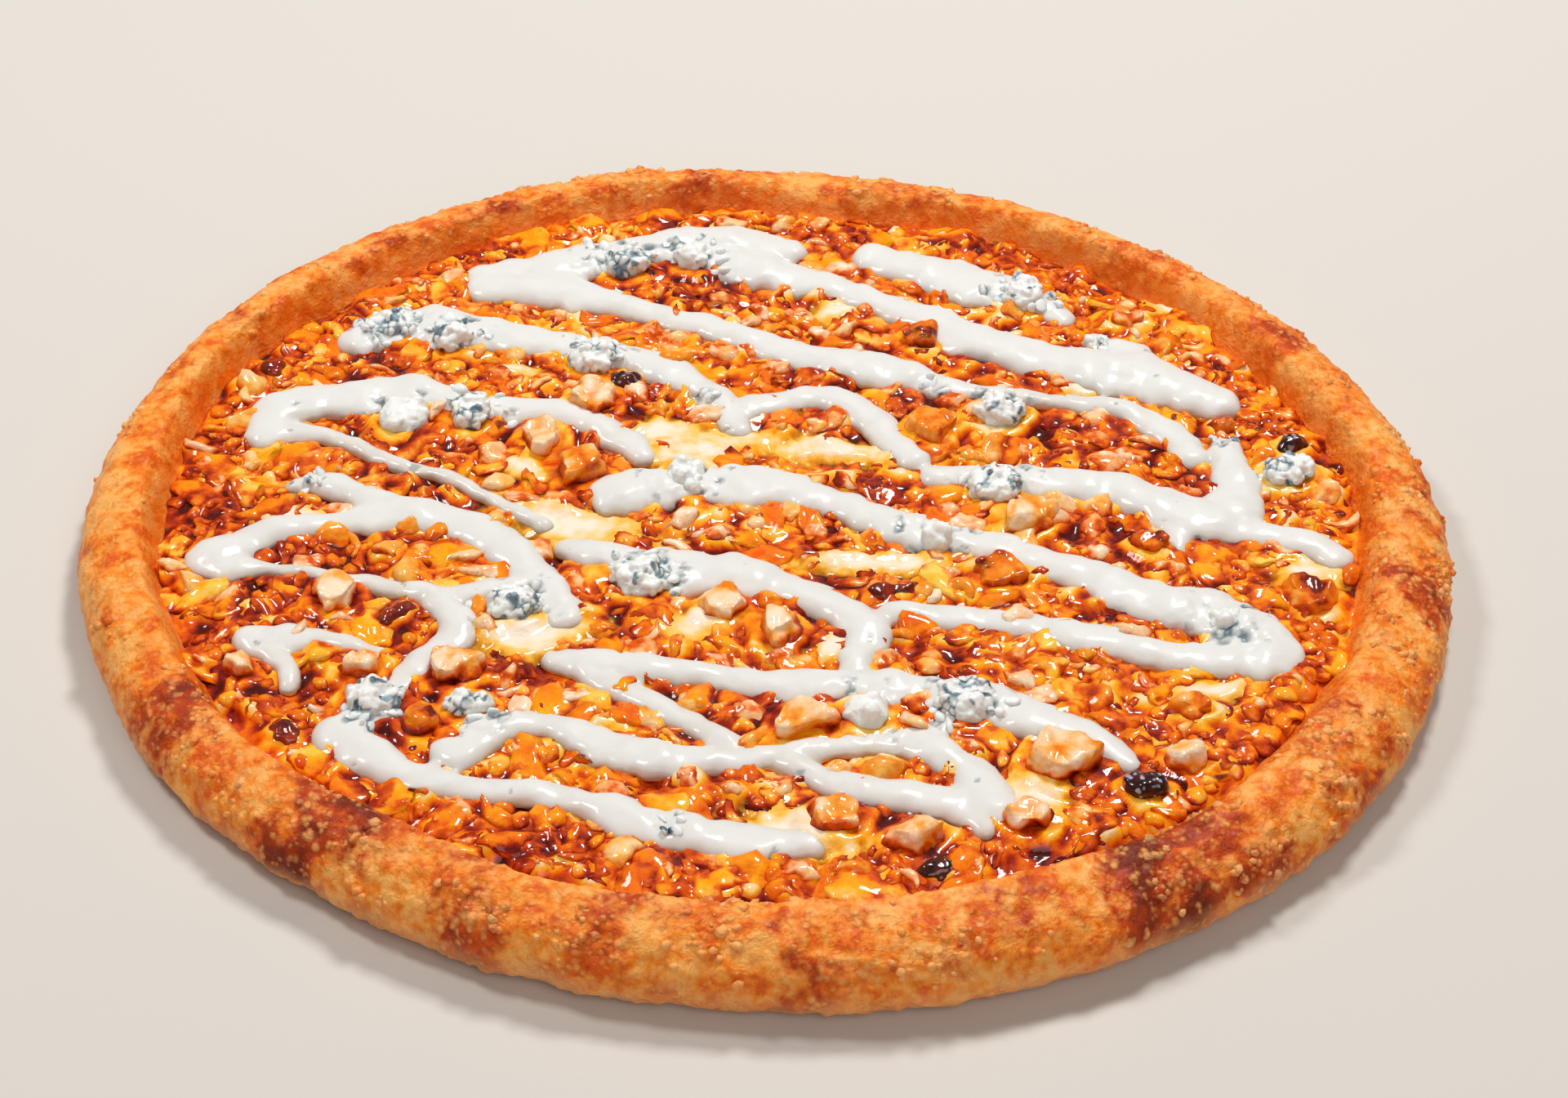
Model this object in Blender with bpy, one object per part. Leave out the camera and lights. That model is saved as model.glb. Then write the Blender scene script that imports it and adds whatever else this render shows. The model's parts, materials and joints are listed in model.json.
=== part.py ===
# A round pan pizza, whole and uncut: a base with a puffed, crackled rim, a bed of sauce,
# cheese and kernels with thick dressing trailed over it, and the larger pieces on top.
# Metres, +Z up; the origin is the centre of the underside, +Y is the back.
import math
import random

import bmesh
import bpy
from mathutils import Matrix, Vector, noise

MM = 0.001
SEED = 14

# Crust
OUTER_RADIUS = 0.1788
RIM_HEIGHT = 0.0212
RIM_WIDEST_HEIGHT = 0.0082
CREST_SHARE = 0.30
UNDERSIDE_INSET = 0.0100
BED_RADIUS = 0.1552
FOOT_HEIGHT = 0.0122
POCKET_FLOOR = 0.0090
RELIEF_DEPTH = 0.0009
CRUST_SIDES = 96

# Bed of sauce and cheese
GAP = 0.0003
BED_TOP = 0.0125
BED_EDGE_TOP = 0.0114
BED_EDGE_WIDTH = 0.0060
BED_CENTRE = (0.0014, 0.0012)

# Kernels that stand out of the bed
KERNEL_SIZES = (0.0095, 0.0080, 0.0068)
KERNELS_OF_A_SIZE = (20, 26, 34)
KERNEL_TRIES = 60
KERNEL_SQUASH = 0.62
KERNEL_SINK = 0.12

# Dressing
DRESSING_ROOT = 0.0117
DRESSING_STEP = 0.0125
DRESSING_RISE = 0.0016
DRESSING_RISE_PER_WIDTH = 0.46
CREAM_RISE = 0.0020
FLAT_ANGLE = math.radians(1)
WELD = 0.00008

# Pieces on the bed
PIECE_BASE = BED_TOP + GAP
SHAFT_CLEARANCE = 0.0004
SHAFT_SIDES = 8
SHAFT_TOP = 0.030

# Trails of dressing, in millimetres from the bed's centre: x, y and half the width there
TRAILS = (
    ((-82, 114, 6), (-58, 120, 9), (-30, 130, 8), (-12, 134, 8), (8, 128, 6.5)),
    ((-20, 124, 8), (0, 116, 9), (22, 107, 6.5), (43, 94, 6.5), (56, 83, 9), (80, 69, 8.5),
     (104, 62, 11), (125, 49, 8)),
    ((95, 80, 5), (104, 72, 7)),
    ((-80, 108, 7), (-56, 105, 8.5), (-38, 97, 5.5), (-12, 85, 6), (14, 71, 6.5),
     (34, 65, 8), (50, 57, 5), (80, 51, 3.5), (99, 45, 5), (110, 34, 6.5), (115, 24, 6)),
    ((34, 124, 7.5), (54, 113, 10), (74, 103, 8.5), (86, 93, 5)),
    ((-114, 81, 8), (-96, 87, 10), (-66, 80, 7.5), (-38, 71, 7.5), (-20, 58, 6.5), (-8, 38, 5)),
    ((-8, 46, 5), (13, 52, 5.5), (26, 44, 6), (39, 22, 5.5)),
    ((-137, 35, 7), (-133, 46, 8), (-112, 52, 8), (-98, 54, 8), (-78, 47, 6), (-55, 43, 6.5),
     (-41, 33, 5.5), (-34, 24, 4)),
    ((-134, 36, 6), (-118, 33, 3.5), (-100, 21, 3.3), (-84, 13, 3), (-60, -7, 2.8)),
    ((-127, 11, 3.5), (-117, 11, 5), (-98, 0, 5)),
    ((-146, -22, 7.5), (-134, -11, 6), (-116, -6, 5), (-96, -3, 7.5), (-80, -8, 7),
     (-64, -25, 7), (-54, -44, 6.5)),
    ((-142, -25, 6), (-128, -25, 2.8), (-106, -31, 3.5), (-88, -36, 4), (-66, -34, 5)),
    ((-88, -38, 4), (-80, -50, 6), (-88, -63, 5), (-98, -80, 5.5), (-108, -93, 7)),
    ((-108, -92, 7), (-96, -103, 6.5), (-76, -112, 4.5), (-54, -115, 5), (-29, -126, 6.5),
     (-8, -131, 6), (6, -132, 4)),
    ((-131, -55, 6.5), (-116, -55, 4.5), (-98, -61, 3)),
    ((-130, -57, 5), (-123, -65, 4), (-122, -73, 2.8)),
    ((-78, -98, 7), (-73, -91, 6.5), (-58, -88, 4.5), (-38, -99, 7), (-13, -102, 5),
     (11, -97, 4), (32, -94, 4.5)),
    ((1, -103, 4), (16, -112, 5), (38, -118, 6), (47, -126, 4)),
    ((-56, -63, 4), (-44, -65, 6.5), (-20, -69, 5), (2, -74, 6.5), (30, -76, 7.5),
     (50, -82, 8.5), (72, -92, 6.5), (84, -104, 3.5)),
    ((-48, -67, 5), (-32, -80, 4.5), (-8, -99, 4.5)),
    ((41, -87, 4.5), (35, -96, 5.5), (46, -107, 6.5), (50, -120, 7)),
    ((-40, 7, 9.5), (-20, 10, 9), (0, 9, 9), (20, 1, 6.5), (40, -12, 8), (56, -16, 4.8),
     (76, -27, 5.2), (96, -40, 8.5), (112, -47, 9.5), (122, -57, 9.5)),
    ((125, -62, 9), (100, -63, 5.5), (70, -52, 4.2), (30, -44, 4)),
    ((44, 14, 5), (69, 12, 7.5), (92, 8, 8), (108, -3, 9), (130, -12, 5.8), (143, -17, 6),
     (147, -22, 5.3)),
    ((108, -6, 5), (106, -18, 3.5)),
    ((125, 27, 5.5), (126, 12, 7), (124, 0, 9)),
    ((-54, -17, 4), (-28, -27, 8.5), (-8, -30, 8.5), (10, -39, 6), (22, -52, 7), (19, -66, 5)),
)

# Flat runs of melted cream, laid out as the trails are
CREAM_RUNS = (
    ((0, 28, 4), (18, 26, 4), (36, 22, 4)),
    ((12, -23, 4), (46, -25, 4)),
)

# Larger pieces, in millimetres from the bed's centre: x, y, length, width, height, and the
# turn of the length from +X in degrees
BLUE_CHEESE = (
    (-100, 41, 18, 15, 8, 80), (-82, 42, 16, 10, 8, 80), (-48, 69, 15, 13, 8, 60),
    (-107, 86, 14, 12, 7, 20), (-88, 79, 11, 10, 7, 0), (64, 43, 15, 14, 8, 30),
    (140, 14, 14, 12, 8, 0), (60, 8, 16, 15, 8, 0), (-23, 12, 17, 11, 8, 80),
    (-35, -32, 16, 14, 8, 30), (-67, -43, 15, 12, 7, 0), (-100, -80, 14, 12, 7, 20),
    (-77, -82, 11, 8, 6, 0), (21, -86, 14, 12, 8, 90), (46, -82, 16, 14, 8, 90),
    (43, -15, 12, 10, 8, 90), (115, -51, 11, 9, 7, 60), (76, 102, 15, 11, 8, 60),
    (-40, 119, 15, 12, 8, 20), (-20, 121, 11, 10, 7, 0),
)
CHICKEN = (
    (-134, -66, 9, 8, 6, 0), (-104, -68, 11, 11, 7, 0), (-81, -70, 14, 12, 8, -15),
    (-88, -88, 11, 9, 6, 30), (-113, -37, 14, 11, 7, -60), (-62, 31, 14, 11, 7, 70),
    (-51, 16, 14, 12, 8, 20), (-48, 50, 14, 12, 7, -50), (69, -6, 15, 14, 8, 80),
    (97, -103, 12, 10, 7, 100), (68, -103, 17, 15, 8, 60), (58, -125, 14, 10, 7, 15),
    (30, -131, 15, 11, 7, 0), (11, -124, 15, 11, 7, 10), (1, -53, 14, 12, 8, 70),
    (-14, -43, 14, 11, 7, 60), (5, -89, 16, 10, 7, 20), (98, -17, 15, 9, 6, 0),
    (138, -39, 15, 12, 6, 20), (45, 37, 14, 12, 6, 60), (104, 88, 11, 9, 5, 0),
    (44, 81, 13, 11, 6, 70), (102, -84, 15, 10, 6, 0), (58, -30, 17, 11, 6, 20),
    (125, 37, 10, 8, 5, 0),
)
CHARRED = (
    (86, -113, 13, 12, 7, 0), (35, -141, 10, 8, 5, 0), (143, 27, 12, 8, 5, 20),
    (-39, 59, 9, 9, 6, 0), (-138, 66, 11, 7, 5, 70), (-121, -91, 11, 8, 5, -60),
    (-97, -46, 14, 6, 5, 40), (31, -36, 16, 6, 5, 15),
)


def outer_radius(angle):
    """Outside of the rim: slightly oval, with slow lumps."""
    oval = 0.0019 * math.cos(2 * angle) - 0.0021 * math.sin(2 * angle)
    lumps = 0.0006 * math.sin(4 * angle + 0.7) + 0.0004 * math.sin(10 * angle + 2.0)
    return OUTER_RADIUS + oval + lumps


def bed_radius(angle):
    """Where the bed meets the inner foot of the rim."""
    drift = -0.0014 * math.cos(angle) + 0.0015 * math.sin(angle)
    oval = 0.0028 * math.cos(2 * angle) - 0.0010 * math.sin(2 * angle)
    lumps = 0.0008 * math.sin(7 * angle + 1.1) + 0.0006 * math.sin(12 * angle)
    return BED_RADIUS + drift + oval + lumps


def rim_height(angle):
    """The rim rises and falls by about a millimetre as it goes round."""
    return RIM_HEIGHT + 0.0007 * math.sin(3 * angle + 0.4) + 0.0004 * math.sin(8 * angle)


def material(name, colour, roughness, subsurface=0.0):
    """A plain Principled material."""
    made = bpy.data.materials.new(name)
    made.use_nodes = True
    shader = made.node_tree.nodes["Principled BSDF"]
    shader.inputs["Base Color"].default_value = (*colour, 1.0)
    shader.inputs["Roughness"].default_value = roughness
    shader.inputs["Subsurface Weight"].default_value = subsurface
    made.diffuse_color = (*colour, 1.0)
    return made


def object_from(bm, name, look=None, collection=None):
    """Turn a bmesh into a linked object."""
    mesh = bpy.data.meshes.new(name)
    bm.to_mesh(mesh)
    bm.free()
    made = bpy.data.objects.new(name, mesh)
    (collection or bpy.context.scene.collection).objects.link(made)
    if look:
        mesh.materials.append(look)
    return made


def bridge_rings(bm, rings, closed_ring=True):
    """Join neighbouring rings of vertices with quads."""
    count = len(rings[0])
    for low, high in zip(rings, rings[1:]):
        for i in range(count if closed_ring else count - 1):
            j = (i + 1) % count
            bm.faces.new((low[i], low[j], high[j], high[i]))


def rim_section(angle):
    """Radius, height and share of relief of the rim, from underside to pocket floor."""
    outside = outer_radius(angle)
    foot = bed_radius(angle)
    top = rim_height(angle)
    crest = foot + CREST_SHARE * (outside - foot)
    points = []
    for step in range(4):
        t = math.radians(30 * step)
        radius = outside - UNDERSIDE_INSET * (1 - math.sin(t))
        points.append((radius, RIM_WIDEST_HEIGHT * (1 - math.cos(t)), 0.0 if step == 0 else 0.5))
    for step in range(1, 5):
        t = math.radians(22.5 * step)
        radius = crest + (outside - crest) * math.cos(t)
        points.append((radius, RIM_WIDEST_HEIGHT + (top - RIM_WIDEST_HEIGHT) * math.sin(t), 1.0))
    for step in range(1, 4):
        t = step / 3
        radius = crest + (foot - crest) * t
        height = FOOT_HEIGHT + (top - FOOT_HEIGHT) * math.cos(math.pi / 2 * t) ** 1.3
        points.append((radius, height, 0.0 if step == 3 else 0.7))
    points.append((foot, POCKET_FLOOR, 0.0))
    return points


def make_crust():
    """Base and rim in one turned body with crackled relief on the rim."""
    bm = bmesh.new()
    columns = []
    for side in range(CRUST_SIDES):
        angle = 2 * math.pi * side / CRUST_SIDES
        column = []
        for radius, height, relief in rim_section(angle):
            place = Vector((radius * math.cos(angle), radius * math.sin(angle), height))
            bump = noise.noise(place * 70.0) + 0.8 * noise.noise(place * 190.0)
            push = relief * RELIEF_DEPTH * bump
            outward = Vector((math.cos(angle), math.sin(angle), 0.8 if height > 0.012 else 0.0))
            column.append(bm.verts.new(place + outward * push))
        columns.append(column)
    rings = [[column[k] for column in columns] for k in range(len(columns[0]))]
    bridge_rings(bm, rings)
    bm.faces.new(list(reversed(rings[0])))
    bm.faces.new(rings[-1])
    bmesh.ops.triangulate(bm, faces=[f for f in bm.faces if len(f.verts) > 4])
    crust = object_from(bm, "crust", material("baked crust", (0.62, 0.26, 0.07), 0.6))
    crust.data.shade_smooth()
    crust.data.set_sharp_from_angle(angle=math.radians(50))
    return crust


def make_core():
    """Flat cake of sauce and cheese in the crust's pocket."""
    bm = bmesh.new()
    levels = (
        (0.0, POCKET_FLOOR + GAP),
        (0.0, BED_EDGE_TOP),
        (BED_EDGE_WIDTH, BED_TOP),
    )
    rings = []
    for inset, height in levels:
        ring = []
        for side in range(CRUST_SIDES):
            angle = 2 * math.pi * side / CRUST_SIDES
            radius = bed_radius(angle) - 2 * GAP - inset
            ring.append(bm.verts.new((radius * math.cos(angle), radius * math.sin(angle), height)))
        rings.append(ring)
    bridge_rings(bm, rings)
    bm.faces.new(list(reversed(rings[0])))
    bm.faces.new(rings[-1])
    bmesh.ops.triangulate(bm, faces=[f for f in bm.faces if len(f.verts) > 4])
    return object_from(bm, "topping", material("sauce and cheese", (0.72, 0.22, 0.04), 0.35))


def spline(points, t):
    """Point on a smooth curve through the points, t from 0 to the last index."""
    last = len(points) - 1
    i = min(int(t), last - 1)
    u = t - i
    before = points[max(i - 1, 0)]
    a, b = points[i], points[i + 1]
    after = points[min(i + 2, last)]
    return (
        a + (b - before) * (0.5 * u)
        + (before * 2 - a * 5 + b * 4 - after) * (0.5 * u * u)
        + (a * 3 - before - b * 3 + after) * (0.5 * u * u * u)
    )


def route_of(trail):
    """Evenly spaced places along a trail: x, y and half width, in metres."""
    shift = Vector((*BED_CENTRE, 0))
    points = [Vector(p) * MM + shift for p in trail]
    fine = [spline(points, k / 40) for k in range(40 * (len(points) - 1) + 1)]
    lengths = [0.0]
    for a, b in zip(fine, fine[1:]):
        lengths.append(lengths[-1] + (b.xy - a.xy).length)
    stops = max(2, round(lengths[-1] / DRESSING_STEP) + 1)
    places = []
    k = 0
    for stop in range(stops):
        target = lengths[-1] * stop / (stops - 1)
        while k < len(fine) - 2 and lengths[k + 1] < target:
            k += 1
        places.append(fine[k + 1 if stop == stops - 1 else k].copy())
    return places


def rounded_ends(route):
    """Width and rise factors along a route, with round tips added at both ends."""
    first = (route[0].xy - route[1].xy).normalized()
    final = (route[-1].xy - route[-2].xy).normalized()
    stations = []
    for reach, factor in ((0.97, 0.22), (0.60, 0.78)):
        stations.append((route[0].xy + first * route[0].z * reach, route[0].z, factor))
    for place in route:
        stations.append((place.xy, place.z, 1.0))
    for reach, factor in ((0.60, 0.78), (0.97, 0.22)):
        stations.append((route[-1].xy + final * route[-1].z * reach, route[-1].z, factor))
    return stations


def make_trail(trail, collection, flat=False):
    """One trail as a low, round-backed bead rooted in the bed."""
    bm = bmesh.new()
    stations = rounded_ends(route_of(trail))
    section = ((-1.0, None), (-0.84, 0.60), (-0.12, 1.0), (0.72, 0.76), (1.0, None))
    rings = []
    for k, (centre, half, factor) in enumerate(stations):
        ahead = stations[min(k + 1, len(stations) - 1)][0]
        behind = stations[max(k - 1, 0)][0]
        along = (ahead - behind).normalized()
        across = Vector((-along.y, along.x))
        rise = CREAM_RISE if flat else DRESSING_RISE + DRESSING_RISE_PER_WIDTH * half
        ring = []
        for side, level in section:
            spot = centre - across * (side * half * factor)
            height = DRESSING_ROOT if level is None else BED_TOP + rise * level * factor ** 0.6
            ring.append(bm.verts.new((spot.x, spot.y, height)))
        rings.append(ring)
    bridge_rings(bm, rings)
    bm.faces.new(rings[0])
    bm.faces.new(list(reversed(rings[-1])))
    bmesh.ops.triangulate(bm, faces=bm.faces)
    bmesh.ops.recalc_face_normals(bm, faces=bm.faces)
    return object_from(bm, "trail", collection=collection)


def lump(rng, size, rounded):
    """Closed convex lump with a flat bottom: cut corners for diced meat, round for crumbs."""
    bm = bmesh.new()
    half = Vector(size) * 0.5
    if rounded:
        count = 24
        for k in range(count):
            z = 1 - 2 * (k + 0.5) / count
            ring = math.sqrt(1 - z * z)
            turn = k * 2.39996
            spot = Vector((ring * math.cos(turn), ring * math.sin(turn), z))
            spot *= rng.uniform(0.88, 1.06)
            spot.z = max(spot.z, -0.62)
            bm.verts.new((spot.x * half.x, spot.y * half.y, (spot.z + 0.62) * half.z * 1.2))
    else:
        for corner in range(8):
            signs = Vector((1 if corner & 1 else -1, 1 if corner & 2 else -1, 1 if corner & 4 else 0))
            for axis in range(3):
                spot = Vector(signs)
                spot.x *= 0.62 if axis == 0 else rng.uniform(0.88, 1.04)
                spot.y *= 0.62 if axis == 1 else rng.uniform(0.88, 1.04)
                if signs.z:
                    spot.z *= 0.72 if axis == 2 else rng.uniform(0.9, 1.0)
                bm.verts.new((spot.x * half.x, spot.y * half.y, spot.z * size[2]))
    made = bmesh.ops.convex_hull(bm, input=bm.verts)
    loose = [e for e in made["geom_interior"] if isinstance(e, bmesh.types.BMVert)]
    bmesh.ops.delete(bm, geom=loose, context="VERTS")
    bmesh.ops.recalc_face_normals(bm, faces=bm.faces)
    return bm


def make_piece(name, facts, rounded, look, cutters):
    """A piece in its own node, and the cutter that keeps the dressing clear of it."""
    x, y, length, width, height, turn = facts
    rng = random.Random(f"{name} {SEED}")
    bm = lump(rng, (length * MM, width * MM, height * MM), rounded)
    bmesh.ops.rotate(bm, verts=bm.verts, matrix=spin(turn))
    place = Vector((x * MM + BED_CENTRE[0], y * MM + BED_CENTRE[1], PIECE_BASE))
    bmesh.ops.translate(bm, verts=bm.verts, vec=place)
    object_from(shaft_round(bm), "cutter", collection=cutters)
    object_from(bm, name, look)


def shaft_round(bm):
    """Upright eight-sided prism from the bed's top that clears every vertex of a piece."""
    spread = math.pi / SHAFT_SIDES
    turns = [2 * spread * k for k in range(SHAFT_SIDES + 1)]
    sides = []
    for turn in turns:
        facing = Vector((math.cos(turn), math.sin(turn)))
        sides.append((facing, max(v.co.xy.dot(facing) for v in bm.verts) + SHAFT_CLEARANCE))
    shaft = bmesh.new()
    rings = [[], []]
    for (facing, reach), (next_facing, next_reach) in zip(sides, sides[1:]):
        cross = facing.x * next_facing.y - facing.y * next_facing.x
        x = (reach * next_facing.y - next_reach * facing.y) / cross
        y = (next_reach * facing.x - reach * next_facing.x) / cross
        rings[0].append(shaft.verts.new((x, y, BED_TOP)))
        rings[1].append(shaft.verts.new((x, y, SHAFT_TOP)))
    bridge_rings(shaft, rings)
    shaft.faces.new(list(reversed(rings[0])))
    shaft.faces.new(rings[1])
    return shaft


def spin(degrees):
    """Turn about +Z."""
    return Matrix.Rotation(math.radians(degrees), 3, "Z")


def kernel_places(rng, routes, pieces):
    """Kernels spread evenly over the bare bed, largest first."""
    taken = []
    for size, count in zip(KERNEL_SIZES, KERNELS_OF_A_SIZE):
        for _ in range(count):
            best = None
            for _ in range(KERNEL_TRIES):
                angle = rng.uniform(0, 2 * math.pi)
                reach = (bed_radius(angle) - BED_EDGE_WIDTH * 0.5 - size * 0.5) * math.sqrt(rng.random())
                spot = Vector((reach * math.cos(angle), reach * math.sin(angle)))
                room = clear_room(spot, size, routes, pieces, taken)
                if room > 0 and (best is None or room > best[0]):
                    best = (room, spot)
            if best:
                taken.append((best[1], size))
    return taken


def clear_room(spot, size, routes, pieces, taken):
    """Free distance round a kernel, or a negative value where it doesn't fit."""
    room = 1.0
    for route in routes:
        for place in route:
            if (spot - place.xy).length < place.z + size * 0.45:
                return -1.0
    for x, y, length, width, _, _ in pieces:
        centre = Vector((x * MM + BED_CENTRE[0], y * MM + BED_CENTRE[1]))
        if (spot - centre).length < (length + width) * MM * 0.27 + size * 0.5:
            return -1.0
    for other, other_size in taken:
        room = min(room, (spot - other).length - (size + other_size) * 0.5)
    return room


def make_kernel(rng, spot, size, collection):
    """A squashed, turned kernel half sunk in the bed."""
    bm = bmesh.new()
    bmesh.ops.create_icosphere(bm, subdivisions=1, radius=0.5)
    stretch = Vector((size * rng.uniform(0.9, 1.2), size * rng.uniform(0.7, 0.95), size * KERNEL_SQUASH))
    bmesh.ops.scale(bm, vec=stretch, verts=bm.verts)
    bmesh.ops.rotate(bm, verts=bm.verts, matrix=spin(rng.uniform(0, 360)))
    height = BED_TOP + size * KERNEL_SINK
    bmesh.ops.translate(bm, verts=bm.verts, vec=(spot.x, spot.y, height))
    object_from(bm, "kernel", collection=collection)


def combine(target, collection, operation):
    """Apply one Boolean with a whole collection and remove its objects."""
    boolean = target.modifiers.new(operation.title(), "BOOLEAN")
    boolean.operation = operation
    boolean.operand_type = "COLLECTION"
    boolean.collection = collection
    boolean.solver = "MANIFOLD"
    bpy.context.view_layer.update()
    depsgraph = bpy.context.evaluated_depsgraph_get()
    mesh = bpy.data.meshes.new_from_object(target.evaluated_get(depsgraph))
    target.modifiers.remove(boolean)
    old = target.data
    target.data = mesh
    mesh.name = target.name
    bpy.data.meshes.remove(old)
    for helper in list(collection.objects):
        bpy.data.objects.remove(helper)
    bpy.data.collections.remove(collection)


def keep_largest_body(target):
    """Merge flat faces, then drop loose scraps and the shells of sealed hollows."""
    bm = bmesh.new()
    bm.from_mesh(target.data)
    bmesh.ops.dissolve_limit(bm, angle_limit=FLAT_ANGLE, verts=bm.verts, edges=bm.edges)
    bmesh.ops.remove_doubles(bm, verts=bm.verts, dist=WELD)
    bmesh.ops.dissolve_degenerate(bm, edges=bm.edges, dist=WELD)
    bmesh.ops.delete(bm, geom=[e for e in bm.edges if e.is_wire], context="EDGES")
    bmesh.ops.triangulate(bm, faces=bm.faces)
    unseen = set(bm.verts)
    bodies = []
    while unseen:
        body = []
        queue = [unseen.pop()]
        while queue:
            vertex = queue.pop()
            body.append(vertex)
            for edge in vertex.link_edges:
                other = edge.other_vert(vertex)
                if other in unseen:
                    unseen.remove(other)
                    queue.append(other)
        bodies.append(body)
    bodies.sort(key=len)
    for body in bodies[:-1]:
        bmesh.ops.delete(bm, geom=body, context="VERTS")
    bm.to_mesh(target.data)
    bm.free()


def new_collection(name):
    made = bpy.data.collections.new(name)
    bpy.context.scene.collection.children.link(made)
    return made


def make_pieces(cutters):
    """The crumbled blue cheese, diced chicken and charred bits."""
    kinds = (
        ("blue_cheese", BLUE_CHEESE, True, material("blue cheese", (0.80, 0.82, 0.78), 0.5, 0.2)),
        ("chicken", CHICKEN, False, material("diced chicken", (0.80, 0.48, 0.20), 0.45, 0.1)),
        ("charred", CHARRED, True, material("charred bits", (0.12, 0.03, 0.02), 0.4)),
    )
    for stem, places, rounded, look in kinds:
        for number, facts in enumerate(places, 1):
            make_piece(f"{stem}_{number:02d}", facts, rounded, look, cutters)


def make_topping():
    """Bed with kernels and dressing fused on, cut clear of the larger pieces."""
    topping = make_core()
    fused = new_collection("fused")
    for trail in TRAILS:
        make_trail(trail, fused)
    for run in CREAM_RUNS:
        make_trail(run, fused, flat=True)
    rng = random.Random(SEED)
    routes = [route_of(trail) for trail in TRAILS + CREAM_RUNS]
    pieces = BLUE_CHEESE + CHICKEN + CHARRED
    for spot, size in kernel_places(rng, routes, pieces):
        make_kernel(rng, spot, size, fused)
    combine(topping, fused, "UNION")
    return topping


def main():
    for old in list(bpy.data.objects):
        bpy.data.objects.remove(old)
    make_crust()
    topping = make_topping()
    cutters = new_collection("cutters")
    make_pieces(cutters)
    combine(topping, cutters, "DIFFERENCE")
    keep_largest_body(topping)


main()
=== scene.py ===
import json
import math
import random

import bmesh
import bpy
import numpy as np
from mathutils import Matrix, Quaternion, Vector, noise

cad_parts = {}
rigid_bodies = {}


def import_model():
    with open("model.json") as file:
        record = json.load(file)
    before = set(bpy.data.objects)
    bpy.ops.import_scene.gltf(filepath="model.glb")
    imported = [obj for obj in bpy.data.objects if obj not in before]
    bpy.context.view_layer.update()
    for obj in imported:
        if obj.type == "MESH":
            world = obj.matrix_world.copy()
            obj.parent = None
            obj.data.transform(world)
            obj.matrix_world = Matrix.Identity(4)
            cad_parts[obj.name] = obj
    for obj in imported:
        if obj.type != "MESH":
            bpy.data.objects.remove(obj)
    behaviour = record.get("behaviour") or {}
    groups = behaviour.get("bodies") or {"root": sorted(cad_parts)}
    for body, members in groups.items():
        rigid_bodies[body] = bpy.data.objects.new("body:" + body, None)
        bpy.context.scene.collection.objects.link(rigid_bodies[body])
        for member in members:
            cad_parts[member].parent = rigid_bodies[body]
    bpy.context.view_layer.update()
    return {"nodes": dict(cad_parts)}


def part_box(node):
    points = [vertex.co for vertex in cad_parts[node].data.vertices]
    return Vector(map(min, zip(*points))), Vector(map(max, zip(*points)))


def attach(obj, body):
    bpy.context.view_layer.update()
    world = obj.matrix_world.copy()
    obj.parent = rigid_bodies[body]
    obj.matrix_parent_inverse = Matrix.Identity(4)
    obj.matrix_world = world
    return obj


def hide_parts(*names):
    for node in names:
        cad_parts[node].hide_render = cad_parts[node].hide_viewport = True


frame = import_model()

# The crust is one piece of yeast dough, pressed into a round pan so that its edge puffs up as
# a rim. It is baked golden, with brown blotches and blisters, and stays pale low down.
# The rim's section is carried round the pizza, and lumps and blisters are raised from it.
MM = 0.001
SEED = 14
RIM_SIDES = 1180
OUTER_RADIUS = 178.8 * MM
RIM_HEIGHT = 21.2 * MM
RIM_WIDEST_HEIGHT = 8.2 * MM
CREST_SHARE = 0.30
UNDERSIDE_INSET = 10.0 * MM
BED_RADIUS = 155.2 * MM
FOOT_HEIGHT = 12.2 * MM
POCKET_FLOOR = 9.0 * MM
LUMP_DEPTH = 0.9 * MM
CRUMPLE_DEPTH = 0.36 * MM
BLISTER_DEPTH = 0.75 * MM

# Browned places on the rim as angle and half width in degrees, and strength. Less than 0 is paler.
browned = (
    (3, 9, 0.5), (28, 6, 0.5), (46, 4, 0.6), (73, 4, 0.5), (97, 9, 0.5), (117, 5, 0.5),
    (150, 3, 0.7), (181, 12, -0.5), (210, 4, 1.0), (230, 6, 1.4), (246, 3, 0.6), (258, 5, 0.7),
    (272, 6, 0.6), (287, 4, 0.4),
    (300, 4, 1.2), (308, 4, 1.0), (325, 5, 0.5), (348, 6, 0.6),
)


def srgb(red, green, blue):
    """A colour named as it is seen, turned into the linear values that a shader takes."""
    parts = [c / 255 for c in (red, green, blue)]
    return tuple(c / 12.92 if c <= 0.04045 else ((c + 0.055) / 1.055) ** 2.4 for c in parts) + (1.0,)


def outer_radius(angle):
    oval = 0.0019 * np.cos(2 * angle) - 0.0021 * np.sin(2 * angle)
    lumps = 0.0006 * np.sin(4 * angle + 0.7) + 0.0004 * np.sin(10 * angle + 2.0)
    return OUTER_RADIUS + oval + lumps


def bed_radius(angle):
    drift = -0.0014 * np.cos(angle) + 0.0015 * np.sin(angle)
    oval = 0.0028 * np.cos(2 * angle) - 0.0010 * np.sin(2 * angle)
    lumps = 0.0008 * np.sin(7 * angle + 1.1) + 0.0006 * np.sin(12 * angle)
    return BED_RADIUS + drift + oval + lumps


def rim_height(angle):
    return RIM_HEIGHT + 0.0007 * np.sin(3 * angle + 0.4) + 0.0004 * np.sin(8 * angle)


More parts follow.
